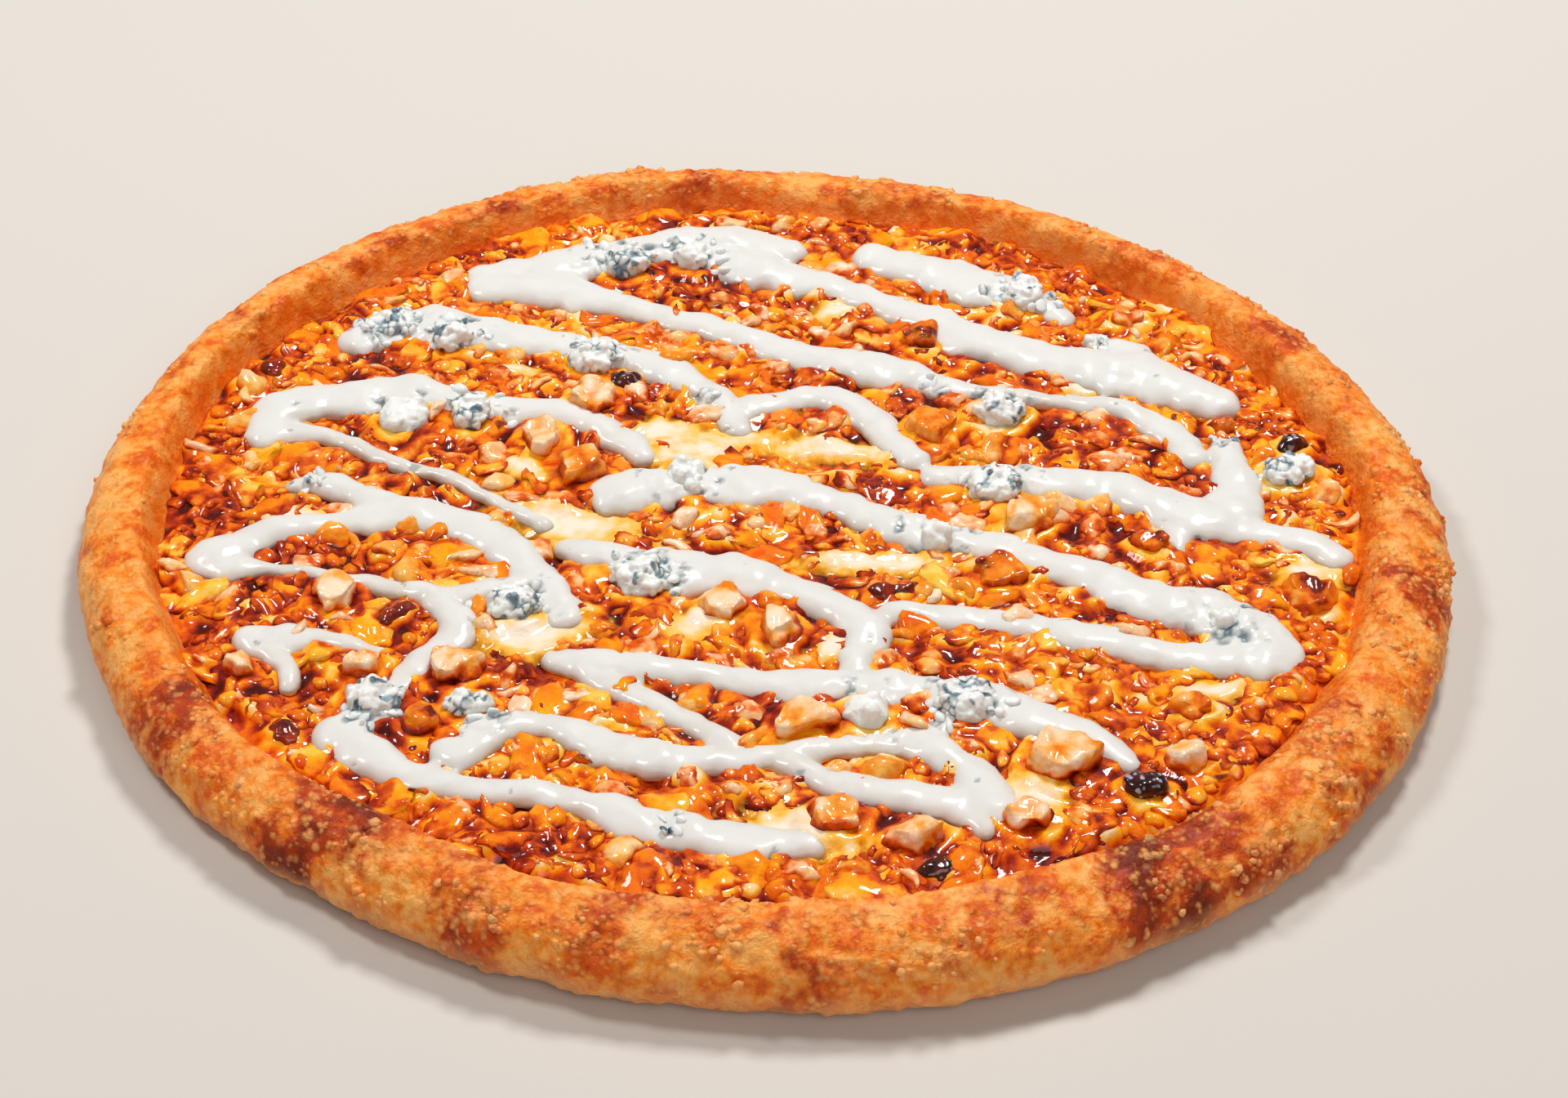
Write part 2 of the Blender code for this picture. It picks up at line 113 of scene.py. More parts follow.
def rim_sections(angles):
    """Radius, height and share of relief on every section, from the underside's middle to the pocket's."""
    outside, foot, top = outer_radius(angles), bed_radius(angles), rim_height(angles)
    crest = foot + CREST_SHARE * (outside - foot)
    still = np.zeros_like(angles)
    columns = [(outside * share, still, still) for share in (0.35, 0.7, 0.86)]
    for t in np.radians(np.linspace(0, 90, 15)):
        radius = outside - UNDERSIDE_INSET * (1 - np.sin(t))
        columns.append((radius, still + RIM_WIDEST_HEIGHT * (1 - np.cos(t)), still + min(1.0, t)))
    for t in np.radians(np.linspace(0, 90, 38)[1:]):
        radius = crest + (outside - crest) * np.cos(t)
        columns.append((radius, RIM_WIDEST_HEIGHT + (top - RIM_WIDEST_HEIGHT) * np.sin(t), still + 1.0))
    for t in np.linspace(0, 1, 20)[1:]:
        slope = max(math.cos(math.pi / 2 * t), 0.0) ** 1.3
        columns.append((crest + (foot - crest) * t, FOOT_HEIGHT + (top - FOOT_HEIGHT) * slope,
                        still + 1 - 0.6 * t))
    columns.append((foot, still + POCKET_FLOOR, still))
    columns.append((foot * 0.5, still + POCKET_FLOOR, still))
    return [np.array(part) for part in zip(*columns)]


def ring_faces(rings, sides):
    """Quads between neighbouring rings, and a fan on each end of the run."""
    i = np.arange(sides)
    j = (i + 1) % sides
    faces = []
    for k in range(rings - 1):
        low, high = k * sides, (k + 1) * sides
        faces.extend(np.stack([low + i, low + j, high + j, high + i], 1).tolist())
    last = rings * sides
    faces.extend(np.stack([j, i, np.full(sides, last)], 1).tolist())
    top = (rings - 1) * sides
    faces.extend(np.stack([top + i, top + j, np.full(sides, last + 1)], 1).tolist())
    return faces


def new_piece(name, points, faces):
    """A smooth-shaded mesh object at the origin."""
    mesh = bpy.data.meshes.new(name)
    mesh.from_pydata([tuple(p) for p in points], [], faces)
    mesh.validate()
    mesh.shade_smooth()
    return link(bpy.data.objects.new(name, mesh))


def link(item):
    bpy.context.scene.collection.objects.link(item)
    return item


def paint(piece, name, values):
    """Store one number for each vertex, for the material to read."""
    layer = piece.data.attributes.new(name, "FLOAT", "POINT")
    layer.data.foreach_set("value", np.asarray(values, np.float32))


def vertex_places(piece):
    places = np.empty(len(piece.data.vertices) * 3)
    piece.data.vertices.foreach_get("co", places)
    return places.reshape(-1, 3)


def vertex_normals(piece):
    normals = np.empty(len(piece.data.vertices) * 3)
    piece.data.vertex_normals.foreach_get("vector", normals)
    return normals.reshape(-1, 3)


def move_vertices(piece, places):
    piece.data.vertices.foreach_set("co", np.asarray(places, float).reshape(-1))
    piece.data.update()


def waves(places, scale, offset=0.0):
    """Soft noise at each place, about -1 to 1, with lumps 1/scale metres across."""
    shift = Vector((offset, offset * 0.7, offset * 1.3))
    return np.array([noise.noise(Vector(p) * scale + shift) for p in places])


def cells(places, scale, offset=0.0):
    """Distances from each place to the two nearest of a field of scattered centres."""
    shift = Vector((offset, offset * 0.7, offset * 1.3))
    return np.array([noise.voronoi(Vector(p) * scale + shift)[0][:2] for p in places])


def smooth_step(low, high, value):
    t = np.clip((value - low) / (high - low), 0, 1)
    return t * t * (3 - 2 * t)


def add_node(tree, kind, inputs, **settings):
    """A node with its settings, and its inputs linked or given as plain values."""
    node = tree.nodes.new(kind)
    for key, value in settings.items():
        setattr(node, key, value)
    for key, value in inputs.items():
        if isinstance(value, bpy.types.NodeSocket):
            tree.links.new(value, node.inputs[key])
        else:
            node.inputs[key].default_value = value
    return node


def finish_shader(name, roughness, coat=0.0, coat_roughness=0.1, subsurface=0.0, glow_depth=0.002, gloss=0.2):
    """A Principled material with its fixed values, ready for a colour."""
    made = bpy.data.materials.new(name)
    made.use_nodes = True
    shader = made.node_tree.nodes["Principled BSDF"]
    for socket, value in (("Roughness", roughness), ("Specular IOR Level", gloss), ("Coat Weight", coat),
                          ("Coat Roughness", coat_roughness), ("Subsurface Weight", subsurface),
                          ("Subsurface Radius", (1.0, 0.6, 0.35)), ("Subsurface Scale", glow_depth)):
        shader.inputs[socket].default_value = value
    return made, shader


def painted(made, name):
    """The stored number of that name."""
    return add_node(made.node_tree, "ShaderNodeAttribute", {}, attribute_name=name).outputs["Fac"]


def on_the_piece(made, kind, **inputs):
    """A texture fixed to the piece's own places."""
    place = made.node_tree.nodes.new("ShaderNodeTexCoord").outputs["Object"]
    return add_node(made.node_tree, kind, {"Vector": place, **inputs}).outputs


def speckle(made, scale, detail=3.0, distortion=0.0):
    """Fine noise, from 0 to 1."""
    return on_the_piece(made, "ShaderNodeTexNoise", Scale=scale, Detail=detail, Distortion=distortion)["Fac"]


def pebbles(made, scale):
    """Round spots packed side by side: 1 in the middle of each, 0 between them."""
    return stretch(on_the_piece(made, "ShaderNodeTexVoronoi", Scale=scale)["Distance"], 0.62, 0.1)


def stretch(value, low, high, start=0.0, end=1.0):
    """The value mapped from low..high to start..end, and held there."""
    return add_node(value.id_data, "ShaderNodeMapRange", {
        "Value": value, "From Min": low, "From Max": high, "To Min": start, "To Max": end}).outputs["Result"]


def drift(made, scale, detail, start, end, distortion=0.0):
    """Fine noise that swings from start to end."""
    return stretch(speckle(made, scale, detail, distortion), 0.3, 0.7, start, end)


def reckon(operation, first, second):
    node = add_node(first.id_data, "ShaderNodeMath", {0: first, 1: second}, operation=operation)
    return node.outputs["Value"]


def plus(*values):
    """The sum of several values."""
    total = values[0]
    for value in values[1:]:
        total = reckon("ADD", total, value)
    return total


def times(first, second):
    return reckon("MULTIPLY", first, second)


def mixed(share, first, second):
    """Colour between first and second, each a colour or another mix."""
    node = add_node(share.id_data, "ShaderNodeMix", {"Factor": share}, data_type="RGBA")
    for socket, value in zip([s for s in node.inputs if s.type == "RGBA"], (first, second)):
        if isinstance(value, tuple):
            socket.default_value = value
        else:
            share.id_data.links.new(value, socket)
    return [s for s in node.outputs if s.type == "RGBA"][0]


def graded(value, *stops):
    """A colour read off a scale of (position, colour as seen) stops."""
    node = add_node(value.id_data, "ShaderNodeValToRGB", {"Fac": value})
    scale = node.color_ramp.elements
    while len(scale) < len(stops):
        scale.new(0.5)
    for element, (position, colour) in zip(scale, stops):
        element.position = position
        element.color = srgb(*colour)
    return node.outputs["Color"]


def roughen(shader, height, distance, strength=0.6):
    """Fine bump from a height value."""
    bump = add_node(shader.id_data, "ShaderNodeBump", {
        "Strength": strength, "Distance": distance, "Height": height})
    shader.id_data.links.new(bump.outputs["Normal"], shader.inputs["Normal"])


def colour_in(shader, colour):
    shader.id_data.links.new(colour, shader.inputs["Base Color"])


def wrap_up(piece, slot, *nodes):
    """Set a finished piece on the body, in place of the solids it stands for. Its slot is not used."""
    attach(piece, "root")
    if nodes:
        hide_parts(*nodes)


angles = np.linspace(0, 2 * math.pi, RIM_SIDES, endpoint=False)
radii, heights, relief = rim_sections(angles)
rim = np.stack([radii * np.cos(angles), radii * np.sin(angles), heights], axis=2)
outward = np.cross(np.roll(rim, -1, axis=1) - np.roll(rim, 1, axis=1), np.gradient(rim, axis=0))
outward /= np.maximum(np.linalg.norm(outward, axis=2, keepdims=True), 1e-12)
rim, outward, relief = rim.reshape(-1, 3), outward.reshape(-1, 3), relief.reshape(-1)
patches = 0.3 * waves(rim, 24, 3.1) + 0.3 * waves(rim, 62, 5.2) + 0.3 * waves(rim, 150, 8.0)
turned, uneven = np.degrees(np.arctan2(rim[:, 1], rim[:, 0])), 0.75 + 0.9 * waves(rim, 80, 12.0)
for angle, width, strength in browned:
    patches += strength * uneven * np.exp(-(((turned - angle + 180) % 360 - 180) / width) ** 2)
wide, small = cells(rim, 270), cells(rim, 520, 4.0)
blister = 0.8 * smooth_step(0.62, 0.1, wide[:, 0]) + 0.45 * smooth_step(0.55, 0.1, small[:, 0])
blister *= np.clip(0.5 + 1.3 * patches, 0.15, 1)
lumps = waves(rim, 70) + 0.8 * waves(rim, 190)
crumple = 0.7 * waves(rim, 120, 2.0) + 0.6 * waves(rim, 330, 6.0)
rise = LUMP_DEPTH * lumps + CRUMPLE_DEPTH * crumple + BLISTER_DEPTH * (blister - 0.5)
points = rim + outward * (relief * rise)[:, None]
points[:, 2] = np.maximum(points[:, 2], 0.0)
points = np.vstack([points, [(0, 0, 0), (0, 0, POCKET_FLOOR)]])
crust = new_piece("baked_crust", points, ring_faces(len(radii), RIM_SIDES))
reach = np.hypot(points[:, 0], points[:, 1]) - bed_radius(np.arctan2(points[:, 1], points[:, 0]))
paint(crust, "bake", np.append(patches, (0, 0)))
paint(crust, "height", points[:, 2] / RIM_HEIGHT)
paint(crust, "inward", 1 - smooth_step(0.0, 0.009, reach))
on_top = smooth_step(0.45, 0.7, points[:, 2] / RIM_HEIGHT) * smooth_step(0.003, 0.007, reach)
clusters = smooth_step(-0.05, 0.35, waves(rim, 48, 21.0) + 0.5 * waves(rim, 130, 7.0))
paint(crust, "crumbly", on_top * np.append(clusters * smooth_step(-0.2, 0.4, patches), (0, 0)))


def crust_colour(made, browning, bubbles):
    """Golden dough that browns in patches, orange by the cheese and pale low down."""
    grain = plus(drift(made, 95, 5, 0.1, 0.6), drift(made, 380, 4, 0.05, 0.25))
    golden = graded(grain, (0.30, (228, 94, 6)), (0.46, (250, 140, 34)), (0.66, (255, 180, 92)))
    flakes = times(pebbles(made, 470), speckle(made, 170, 4))
    golden = mixed(stretch(flakes, 0.32, 0.55, 0.0, 0.4), golden, srgb(255, 192, 124))
    brown = graded(stretch(browning, 0.4, 1.4), (0.0, (220, 90, 4)), (0.45, (188, 64, 6)), (1.0, (126, 38, 6)))
    colour = mixed(stretch(browning, 0.2, 0.75), golden, brown)
    colour = mixed(times(bubbles, stretch(browning, -0.3, 0.5, 0.15, 0.85)), colour, srgb(253, 174, 94))
    inward = plus(painted(made, "inward"), drift(made, 90, 5, -0.3, 0.3))
    colour = mixed(stretch(inward, 0.3, 1.0, 0.0, 0.7), colour, srgb(232, 104, 0))
    low = plus(painted(made, "height"), drift(made, 60, 4, -0.12, 0.12))
    return mixed(stretch(low, 0.50, 0.18, 0.0, 0.85), colour, srgb(244, 172, 112))


def baked_look(name, lift=0.0):
    """The dough's finish. What stands on it takes the same colour, lifted a little."""
    made, shader = finish_shader(name, 0.45, coat=0.05, coat_roughness=0.28, subsurface=0.06)
    browning = plus(painted(made, "bake"), drift(made, 110, 9, -0.4, 0.4), drift(made, 300, 5, -0.3, 0.3))
    bubbles = plus(times(pebbles(made, 250), speckle(made, 150, 2)),
                   times(pebbles(made, 460), speckle(made, 210, 2)))
    bubbles = stretch(bubbles, 0.3, 0.8)
    colour = crust_colour(made, browning, bubbles)
    if lift:
        colour = mixed(stretch(painted(made, "tone"), 0.0, 1.0, 0.0, lift), colour, srgb(255, 188, 116))
    colour_in(shader, colour)
    skin = plus(times(bubbles, stretch(browning, -0.3, 0.6, 0.2, 1.0)),
                stretch(speckle(made, 420, 5, 1.5), 0.35, 0.65, 0.0, 0.5))
    roughen(shader, skin, 0.0007, 0.7)
    return made


crust.data.materials.append(baked_look("golden baked dough"))
wrap_up(crust, "baked_crust", "crust")

# Small blisters of the same dough stand on the crust's crest, paler than the brown patches that
# they gather on. One tree strews such small things over a surface, keeps them apart, turns and
# scales them by chance and makes each one uneven.
BLISTER_SIZES = (0.4, 0.5, 0.65, 0.8, 1.0)

# Noise that makes strewn things uneven, as lumps to the metre and share of the unevenness
WOBBLES = ((170.0, 1.0), (430.0, 0.5), (900.0, 0.2))


def strewing_tree():
    """Scatter one of several shapes over the painted places of a mesh, and make each uneven."""
    tree = bpy.data.node_groups.new("strew over a surface", "GeometryNodeTree")
    tree.interface.new_socket("Geometry", in_out="OUTPUT", socket_type="NodeSocketGeometry")
    for label, kind in (("Geometry", "Geometry"), ("Shapes", "Collection"), ("Finish", "Material"),
                        ("Spacing", "Float"), ("Density", "Float"), ("Where", "String"),
                        ("Smallest", "Vector"), ("Largest", "Vector"), ("Tilt", "Float"),
                        ("Lift", "Float"), ("Unevenness", "Float"), ("Seed", "Int")):
        tree.interface.new_socket(label, in_out="INPUT", socket_type="NodeSocket" + kind)

    def add(kind, inputs, **settings):
        return add_node(tree, kind, inputs, **settings).outputs

    given = add("NodeGroupInput", {})
    where = add("GeometryNodeInputNamedAttribute", {"Name": given["Where"]}, data_type="FLOAT")
    scatter = add("GeometryNodeDistributePointsOnFaces", {
        "Mesh": given["Geometry"], "Distance Min": given["Spacing"], "Density Max": given["Density"],
        "Density Factor": where["Attribute"], "Seed": given["Seed"]}, distribute_method="POISSON")

    size = add("FunctionNodeRandomValue", {
        "Min": given["Smallest"], "Max": given["Largest"], "Seed": given["Seed"]}, data_type="FLOAT_VECTOR")
    back = add("ShaderNodeMath", {0: given["Tilt"], 1: -1.0}, operation="MULTIPLY")[0]
    low = add("ShaderNodeCombineXYZ", {"X": back, "Y": back})
    high = add("ShaderNodeCombineXYZ", {"X": given["Tilt"], "Y": given["Tilt"], "Z": 2 * math.pi})
    turn = add("FunctionNodeRandomValue", {"Min": low[0], "Max": high[0]}, data_type="FLOAT_VECTOR")

    shapes = add("GeometryNodeCollectionInfo", {
        "Collection": given["Shapes"], "Separate Children": True, "Reset Children": True})
    place = add("GeometryNodeInstanceOnPoints", {
        "Points": scatter["Points"], "Instance": shapes["Instances"], "Pick Instance": True,
        "Rotation": turn[0], "Scale": size[0]})
    up = add("ShaderNodeCombineXYZ", {"Z": given["Lift"]})
    lift = add("GeometryNodeTranslateInstances", {
        "Instances": place[0], "Translation": up[0], "Local Space": False})

    chance = add("FunctionNodeRandomValue", {"Seed": given["Seed"]}, data_type="FLOAT")
    share = [s for s in chance if s.type == "VALUE" and s.enabled][0]
    tone = add("GeometryNodeStoreNamedAttribute", {"Geometry": lift[0], "Name": "tone", "Value": share},
               data_type="FLOAT", domain="INSTANCE")
    geometry = add("GeometryNodeRealizeInstances", {0: tone[0]})[0]
    for scale, strength in WOBBLES:
        wobble = add("ShaderNodeTexNoise", {"Scale": scale})
        centred = add("ShaderNodeVectorMath", {0: wobble["Color"], 1: (0.5, 0.5, 0.5)}, operation="SUBTRACT")
        amount = add("ShaderNodeMath", {0: given["Unevenness"], 1: strength}, operation="MULTIPLY")
        shift = add("ShaderNodeVectorMath", {0: centred[0], "Scale": amount[0]}, operation="SCALE")
        geometry = add("GeometryNodeSetPosition", {"Geometry": geometry, "Offset": shift[0]})[0]
    finish = add("GeometryNodeSetMaterial", {"Geometry": geometry, "Material": given["Finish"]})
    add("NodeGroupOutput", {0: finish[0]})
    return tree


strewing = strewing_tree()


def strew(name, ground, shapes, look, where, spacing, density, smallest, largest, tilt, lift, unevenness,
          seed):
    """Strew shapes over a mesh and keep the result as a plain mesh. Sizes are in millimetres."""
    carrier = link(bpy.data.objects.new(name, ground.data.copy()))
    modifier = carrier.modifiers.new("Strew", "NODES")
    modifier.node_group = strewing
    settings = {"Shapes": shapes, "Finish": look, "Where": where, "Spacing": spacing * MM, "Density": density,
                "Smallest": [s * MM for s in smallest], "Largest": [s * MM for s in largest], "Tilt": tilt,
                "Lift": lift * MM, "Unevenness": unevenness * MM, "Seed": seed}
    for item in strewing.interface.items_tree:
        if item.in_out == "INPUT" and item.name in settings:
            modifier[item.identifier] = settings[item.name]
    bpy.context.view_layer.update()
    mesh = bpy.data.meshes.new_from_object(carrier.evaluated_get(bpy.context.evaluated_depsgraph_get()))
    bpy.data.objects.remove(carrier)
    mesh.name = name
    mesh.shade_smooth()
    return link(bpy.data.objects.new(name, mesh))


def shape_set(name, meshes):
    """A collection with one object for each mesh, to strew from."""
    group = bpy.data.collections.new(name)
    bpy.context.scene.collection.children.link(group)
    for bm in meshes:
        mesh = bpy.data.meshes.new(name)
        bm.to_mesh(mesh)
        bm.free()
        group.objects.link(bpy.data.objects.new(name, mesh))
    return group


def drop_shapes(group):
    for item in list(group.objects):
        bpy.data.objects.remove(item)
    bpy.data.collections.remove(group)


def ball(detail, size=1.0):
    bm = bmesh.new()
    bmesh.ops.create_icosphere(bm, subdivisions=detail, radius=0.5 * size)
    return bm


dome_shapes = shape_set("dome", [ball(1, size) for size in BLISTER_SIZES])
domes = strew("crust_blisters", crust, dome_shapes, baked_look("blistered dough", 0.85), "crumbly",
              1.2, 330000, (2.2, 2.2, 1.5), (4.4, 4.4, 2.3), 0.25, -0.35, 0.8, SEED)
drop_shapes(dome_shapes)
wrap_up(domes, "baked_crust")

# The dressing is a thick white cream, trailed from a bottle in long strokes back and forth, so
# it lies in round-backed beads that sag, spread and merge where they cross. Each stroke is a
# bead swept along its route, and the beads are melted into one skin.
BED_TOP = 12.5 * MM
BED_CENTRE = np.array((1.4 * MM, 1.2 * MM))
DRESSING_ROOT = 11.9 * MM
DRESSING_RISE = 2.1 * MM
DRESSING_RISE_PER_WIDTH = 0.37
DRESSING_STEP = 1.4 * MM
DRESSING_SIDES = 16
DRESSING_GRAIN = 0.97 * MM
EDGE_WANDER, FINE_EDGE_WANDER, HEIGHT_WANDER = 0.28, 0.24, 0.22
TIP_RINGS = 7

# How much the dressing coats each of these lumps, where it does
COATED_CHEESE = {"blue_cheese_14": 1.0, "blue_cheese_16": 0.9, "blue_cheese_01": 0.75, "blue_cheese_09": 0.6,
                 "blue_cheese_17": 0.7}

# Strokes as x, y and half the width there, in millimetres from the bed's centre
strokes = (
    ((-82, 114, 6), (-58, 120, 9), (-30, 130, 8), (-12, 134, 8), (8, 128, 6.5)),
    ((-20, 124, 8), (0, 116, 9), (22, 107, 6.5), (43, 94, 6.5), (56, 83, 9), (80, 69, 8.5),
     (104, 62, 11), (125, 49, 8)),
    ((95, 80, 5), (104, 72, 7)),
    ((-80, 108, 7), (-56, 105, 8.5), (-38, 97, 5.5), (-12, 85, 6), (14, 71, 6.5),
     (34, 65, 8), (50, 57, 5), (80, 51, 3.5), (99, 45, 5), (110, 34, 6.5), (115, 24, 6)),
    ((34, 124, 7.5), (54, 113, 10), (74, 103, 8.5), (86, 93, 5)),
    ((-114, 81, 8), (-96, 87, 10), (-66, 80, 7.5), (-38, 71, 7.5), (-20, 58, 6.5), (-8, 38, 5)),
    ((-8, 46, 5), (13, 52, 5.5), (26, 44, 6), (39, 22, 5.5)),
    ((-137, 35, 7), (-133, 46, 8), (-112, 52, 8), (-98, 54, 8), (-78, 47, 6), (-55, 43, 6.5),
     (-41, 33, 5.5), (-34, 24, 4)),
    ((-134, 36, 6), (-118, 33, 3.5), (-100, 21, 3.3), (-84, 13, 3), (-60, -7, 2.8)),
    ((-127, 11, 3.5), (-117, 11, 5), (-98, 0, 5)),
    ((-146, -22, 7.5), (-134, -11, 6), (-116, -6, 5), (-96, -3, 7.5), (-80, -8, 7),
     (-64, -25, 7), (-54, -44, 6.5)),
    ((-142, -25, 6), (-128, -25, 2.8), (-106, -31, 3.5), (-88, -36, 4), (-66, -34, 5)),
    ((-88, -38, 4), (-80, -50, 6), (-88, -63, 5), (-98, -80, 5.5), (-108, -93, 7)),
    ((-108, -92, 7), (-96, -103, 6.5), (-76, -112, 4.5), (-54, -115, 5), (-29, -126, 6.5),
     (-8, -131, 6), (6, -132, 4)),
    ((-131, -55, 6.5), (-116, -55, 4.5), (-98, -61, 3)),
    ((-130, -57, 5), (-123, -65, 4), (-122, -73, 2.8)),
    ((-78, -98, 7), (-73, -91, 6.5), (-58, -88, 4.5), (-38, -99, 7), (-13, -102, 5),
     (11, -97, 4), (32, -94, 4.5)),
    ((1, -103, 4), (16, -112, 5), (38, -118, 6), (47, -126, 4)),
    ((-56, -63, 4), (-44, -65, 6.5), (-20, -69, 5), (2, -74, 6.5), (30, -76, 7.5),
     (50, -82, 8.5), (72, -92, 6.5), (84, -104, 3.5)),
    ((-48, -67, 5), (-32, -80, 4.5), (-8, -99, 4.5)),
    ((41, -87, 4.5), (35, -96, 5.5), (46, -107, 6.5), (50, -120, 7)),
    ((-40, 7, 9.5), (-20, 10, 9), (0, 9, 9), (20, 1, 6.5), (40, -12, 8), (56, -16, 6.4),
     (76, -27, 7), (96, -40, 8.5), (112, -47, 9.5), (122, -57, 9.5)),
    ((125, -62, 9), (100, -63, 6.6), (70, -52, 6), (30, -44, 5.2)),
    ((44, 14, 5), (69, 12, 7.5), (92, 8, 8), (108, -3, 9), (130, -12, 5.8), (143, -17, 6),
     (147, -22, 5.3)),
    ((108, -6, 5), (106, -18, 3.5)),
    ((125, 27, 5.5), (126, 12, 7), (124, 0, 9)),
    ((-54, -17, 4), (-28, -27, 8.5), (-8, -30, 8.5), (10, -39, 6), (22, -52, 7), (19, -66, 5)),
)


def follow(stroke, step):
    """Evenly spaced x, y and half width along a smooth curve through a stroke, in metres."""
    points = [np.array(p, float) * MM for p in stroke]
    points = [points[0]] + points + [points[-1]]
    fine = []
    for before, a, b, after in zip(points, points[1:], points[2:], points[3:]):
        for u in np.linspace(0, 1, 60, endpoint=False):
            fine.append(a + (b - before) * (0.5 * u)
                        + (2 * before - 5 * a + 4 * b - after) * (0.5 * u * u)
                        + (3 * a - before - 3 * b + after) * (0.5 * u ** 3))
    fine.append(points[-2])
    fine = np.array(fine)
    lengths = np.concatenate([[0], np.cumsum(np.hypot(*np.diff(fine[:, :2], axis=0).T))])
    stops = np.linspace(0, lengths[-1], max(3, int(lengths[-1] / step)))
    route = np.stack([np.interp(stops, lengths, fine[:, k]) for k in range(3)], 1)
    route[:, :2] += BED_CENTRE
    return route


def bead(bm, route, number):
    """One closed, round-backed bead along a route, with round tips and wandering edges."""
    tips = np.sin(np.linspace(0.12, math.pi / 2, TIP_RINGS))[:-1]
    start = [(route[0], -math.sqrt(1 - t * t), t) for t in tips]
    end = [(route[-1], math.sqrt(1 - t * t), t) for t in tips[::-1]]
    rings = []
    for k, (place, reach, factor) in enumerate(start + [(p, 0.0, 1.0) for p in route] + end):
        i = min(max(k - len(start), 0), len(route) - 1)
        along = route[min(i + 1, len(route) - 1), :2] - route[max(i - 1, 0), :2]
        along /= np.linalg.norm(along)
        across = np.array((-along[1], along[0]))
        centre = place[:2] + along * (reach * place[2])
        sides = [place[2] * (1 + EDGE_WANDER * noise.noise(Vector((*centre * 95, number + side)))
                             + FINE_EDGE_WANDER * noise.noise(Vector((*centre * 250, number + side))))
                 for side in (0.0, 7.0)]
        rise = DRESSING_RISE + DRESSING_RISE_PER_WIDTH * place[2]
        rise *= 1 + HEIGHT_WANDER * noise.noise(Vector((*centre * 130, number + 40.0)))
        ring = []
        for turn in np.linspace(0, 2 * math.pi, DRESSING_SIDES, endpoint=False):
            spread, lift = math.cos(turn), math.sin(turn)
            shape = 0.20 + 0.80 * lift ** 0.9 if lift > 0 else 0.20 + 0.9 * lift
            spot = centre - across * (spread * factor * sides[0 if spread > 0 else 1])
            ring.append(bm.verts.new((*spot, max(BED_TOP + rise * shape * factor ** 0.7, DRESSING_ROOT))))
        rings.append(ring)
    for low, high in zip(rings, rings[1:]):
        for a in range(DRESSING_SIDES):
            b = (a + 1) % DRESSING_SIDES
            bm.faces.new((low[a], low[b], high[b], high[a]))
    bm.faces.new(list(reversed(rings[0])))
    bm.faces.new(rings[-1])


def melt_together(name, bm, grain, rounds):
    """Turn overlapping closed shapes into one smooth skin."""
    bmesh.ops.recalc_face_normals(bm, faces=bm.faces)
    mesh = bpy.data.meshes.new(name)
    bm.to_mesh(mesh)
    bm.free()
    rough = link(bpy.data.objects.new(name, mesh))
    remesh = rough.modifiers.new("Melt", "REMESH")
    remesh.mode = "VOXEL"
    remesh.voxel_size = grain
    soften = rough.modifiers.new("Soften", "SMOOTH")
    soften.iterations = rounds
    soften.factor = 0.5
    bpy.context.view_layer.update()
    done = bpy.data.meshes.new_from_object(rough.evaluated_get(bpy.context.evaluated_depsgraph_get()))
    bpy.data.objects.remove(rough)
    done.name = name
    done.shade_smooth()
    return link(bpy.data.objects.new(name, done))


def from_nodes(places, names):
    """Distance on the flat from each place to the middle of each of these nodes."""
    centres = np.array([(sum(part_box(n), Vector()) / 2)[:2] for n in names])
    return np.linalg.norm(places[:, None, :2] - centres[None], axis=2)


# Places where crumbs of blue cheese are scattered on the dressing, as x, y and reach in millimetres
crumbled = ((-102, 84, 9), (-45, 122, 14), (75, 100, 7), (-18, 48, 7), (45, 55, 6), (83, -3, 7), (96, 77, 6),
            (-124, 12, 6), (125, 30, 7), (33, -125, 5), (-27, -125, 6), (-13, 110, 8))
routes = [follow(stroke, DRESSING_STEP) for stroke in strokes]
beads = bmesh.new()
for number, route in enumerate(routes):
    bead(beads, route, number)
dressing = melt_together("trailed_dressing", beads, DRESSING_GRAIN, 6)
places, normals = vertex_places(dressing), vertex_normals(dressing)
blue_cheese_nodes = sorted(n for n in frame["nodes"] if n.startswith("blue_cheese"))
crumbly = 1 - smooth_step(0.008, 0.017, from_nodes(places, blue_cheese_nodes).min(axis=1))
bare_nodes = [n for n in blue_cheese_nodes if n not in COATED_CHEESE]
thick = 1 - smooth_step(0.006, 0.013, from_nodes(places, bare_nodes).min(axis=1))
for x, y, reach in crumbled:
    off = np.hypot(*(places[:, :2] - BED_CENTRE - np.array((x, y)) * MM).T)
    thick = np.maximum(thick, 1 - smooth_step(0.5 * reach * MM, reach * MM, off))
    crumbly = np.maximum(crumbly, 1 - smooth_step(0.6 * reach * MM, 1.1 * reach * MM, off))
cracks = cells(places, 330)
crack = np.clip(1 - (cracks[:, 1] - cracks[:, 0]) * 3.0, 0, 1)
fleck = crumbly * (0.35 + 0.65 * crack) * smooth_step(0.05, 0.4, waves(places, 190, 3.0))
fleck = np.maximum(fleck, 0.5 * smooth_step(0.64, 0.76, waves(places, 260, 9.0)))
ripple = 0.7 * waves(places, 70) + 0.5 * waves(places, 150, 4.0) + 0.12 * waves(places, 400, 2.0)
ripple += crumbly * (0.5 * smooth_step(0.7, 0.1, cracks[:, 0]) - 0.4)
move_vertices(dressing, places + normals * (ripple - 0.6 * fleck)[:, None] * MM)
paint(dressing, "fleck", fleck)
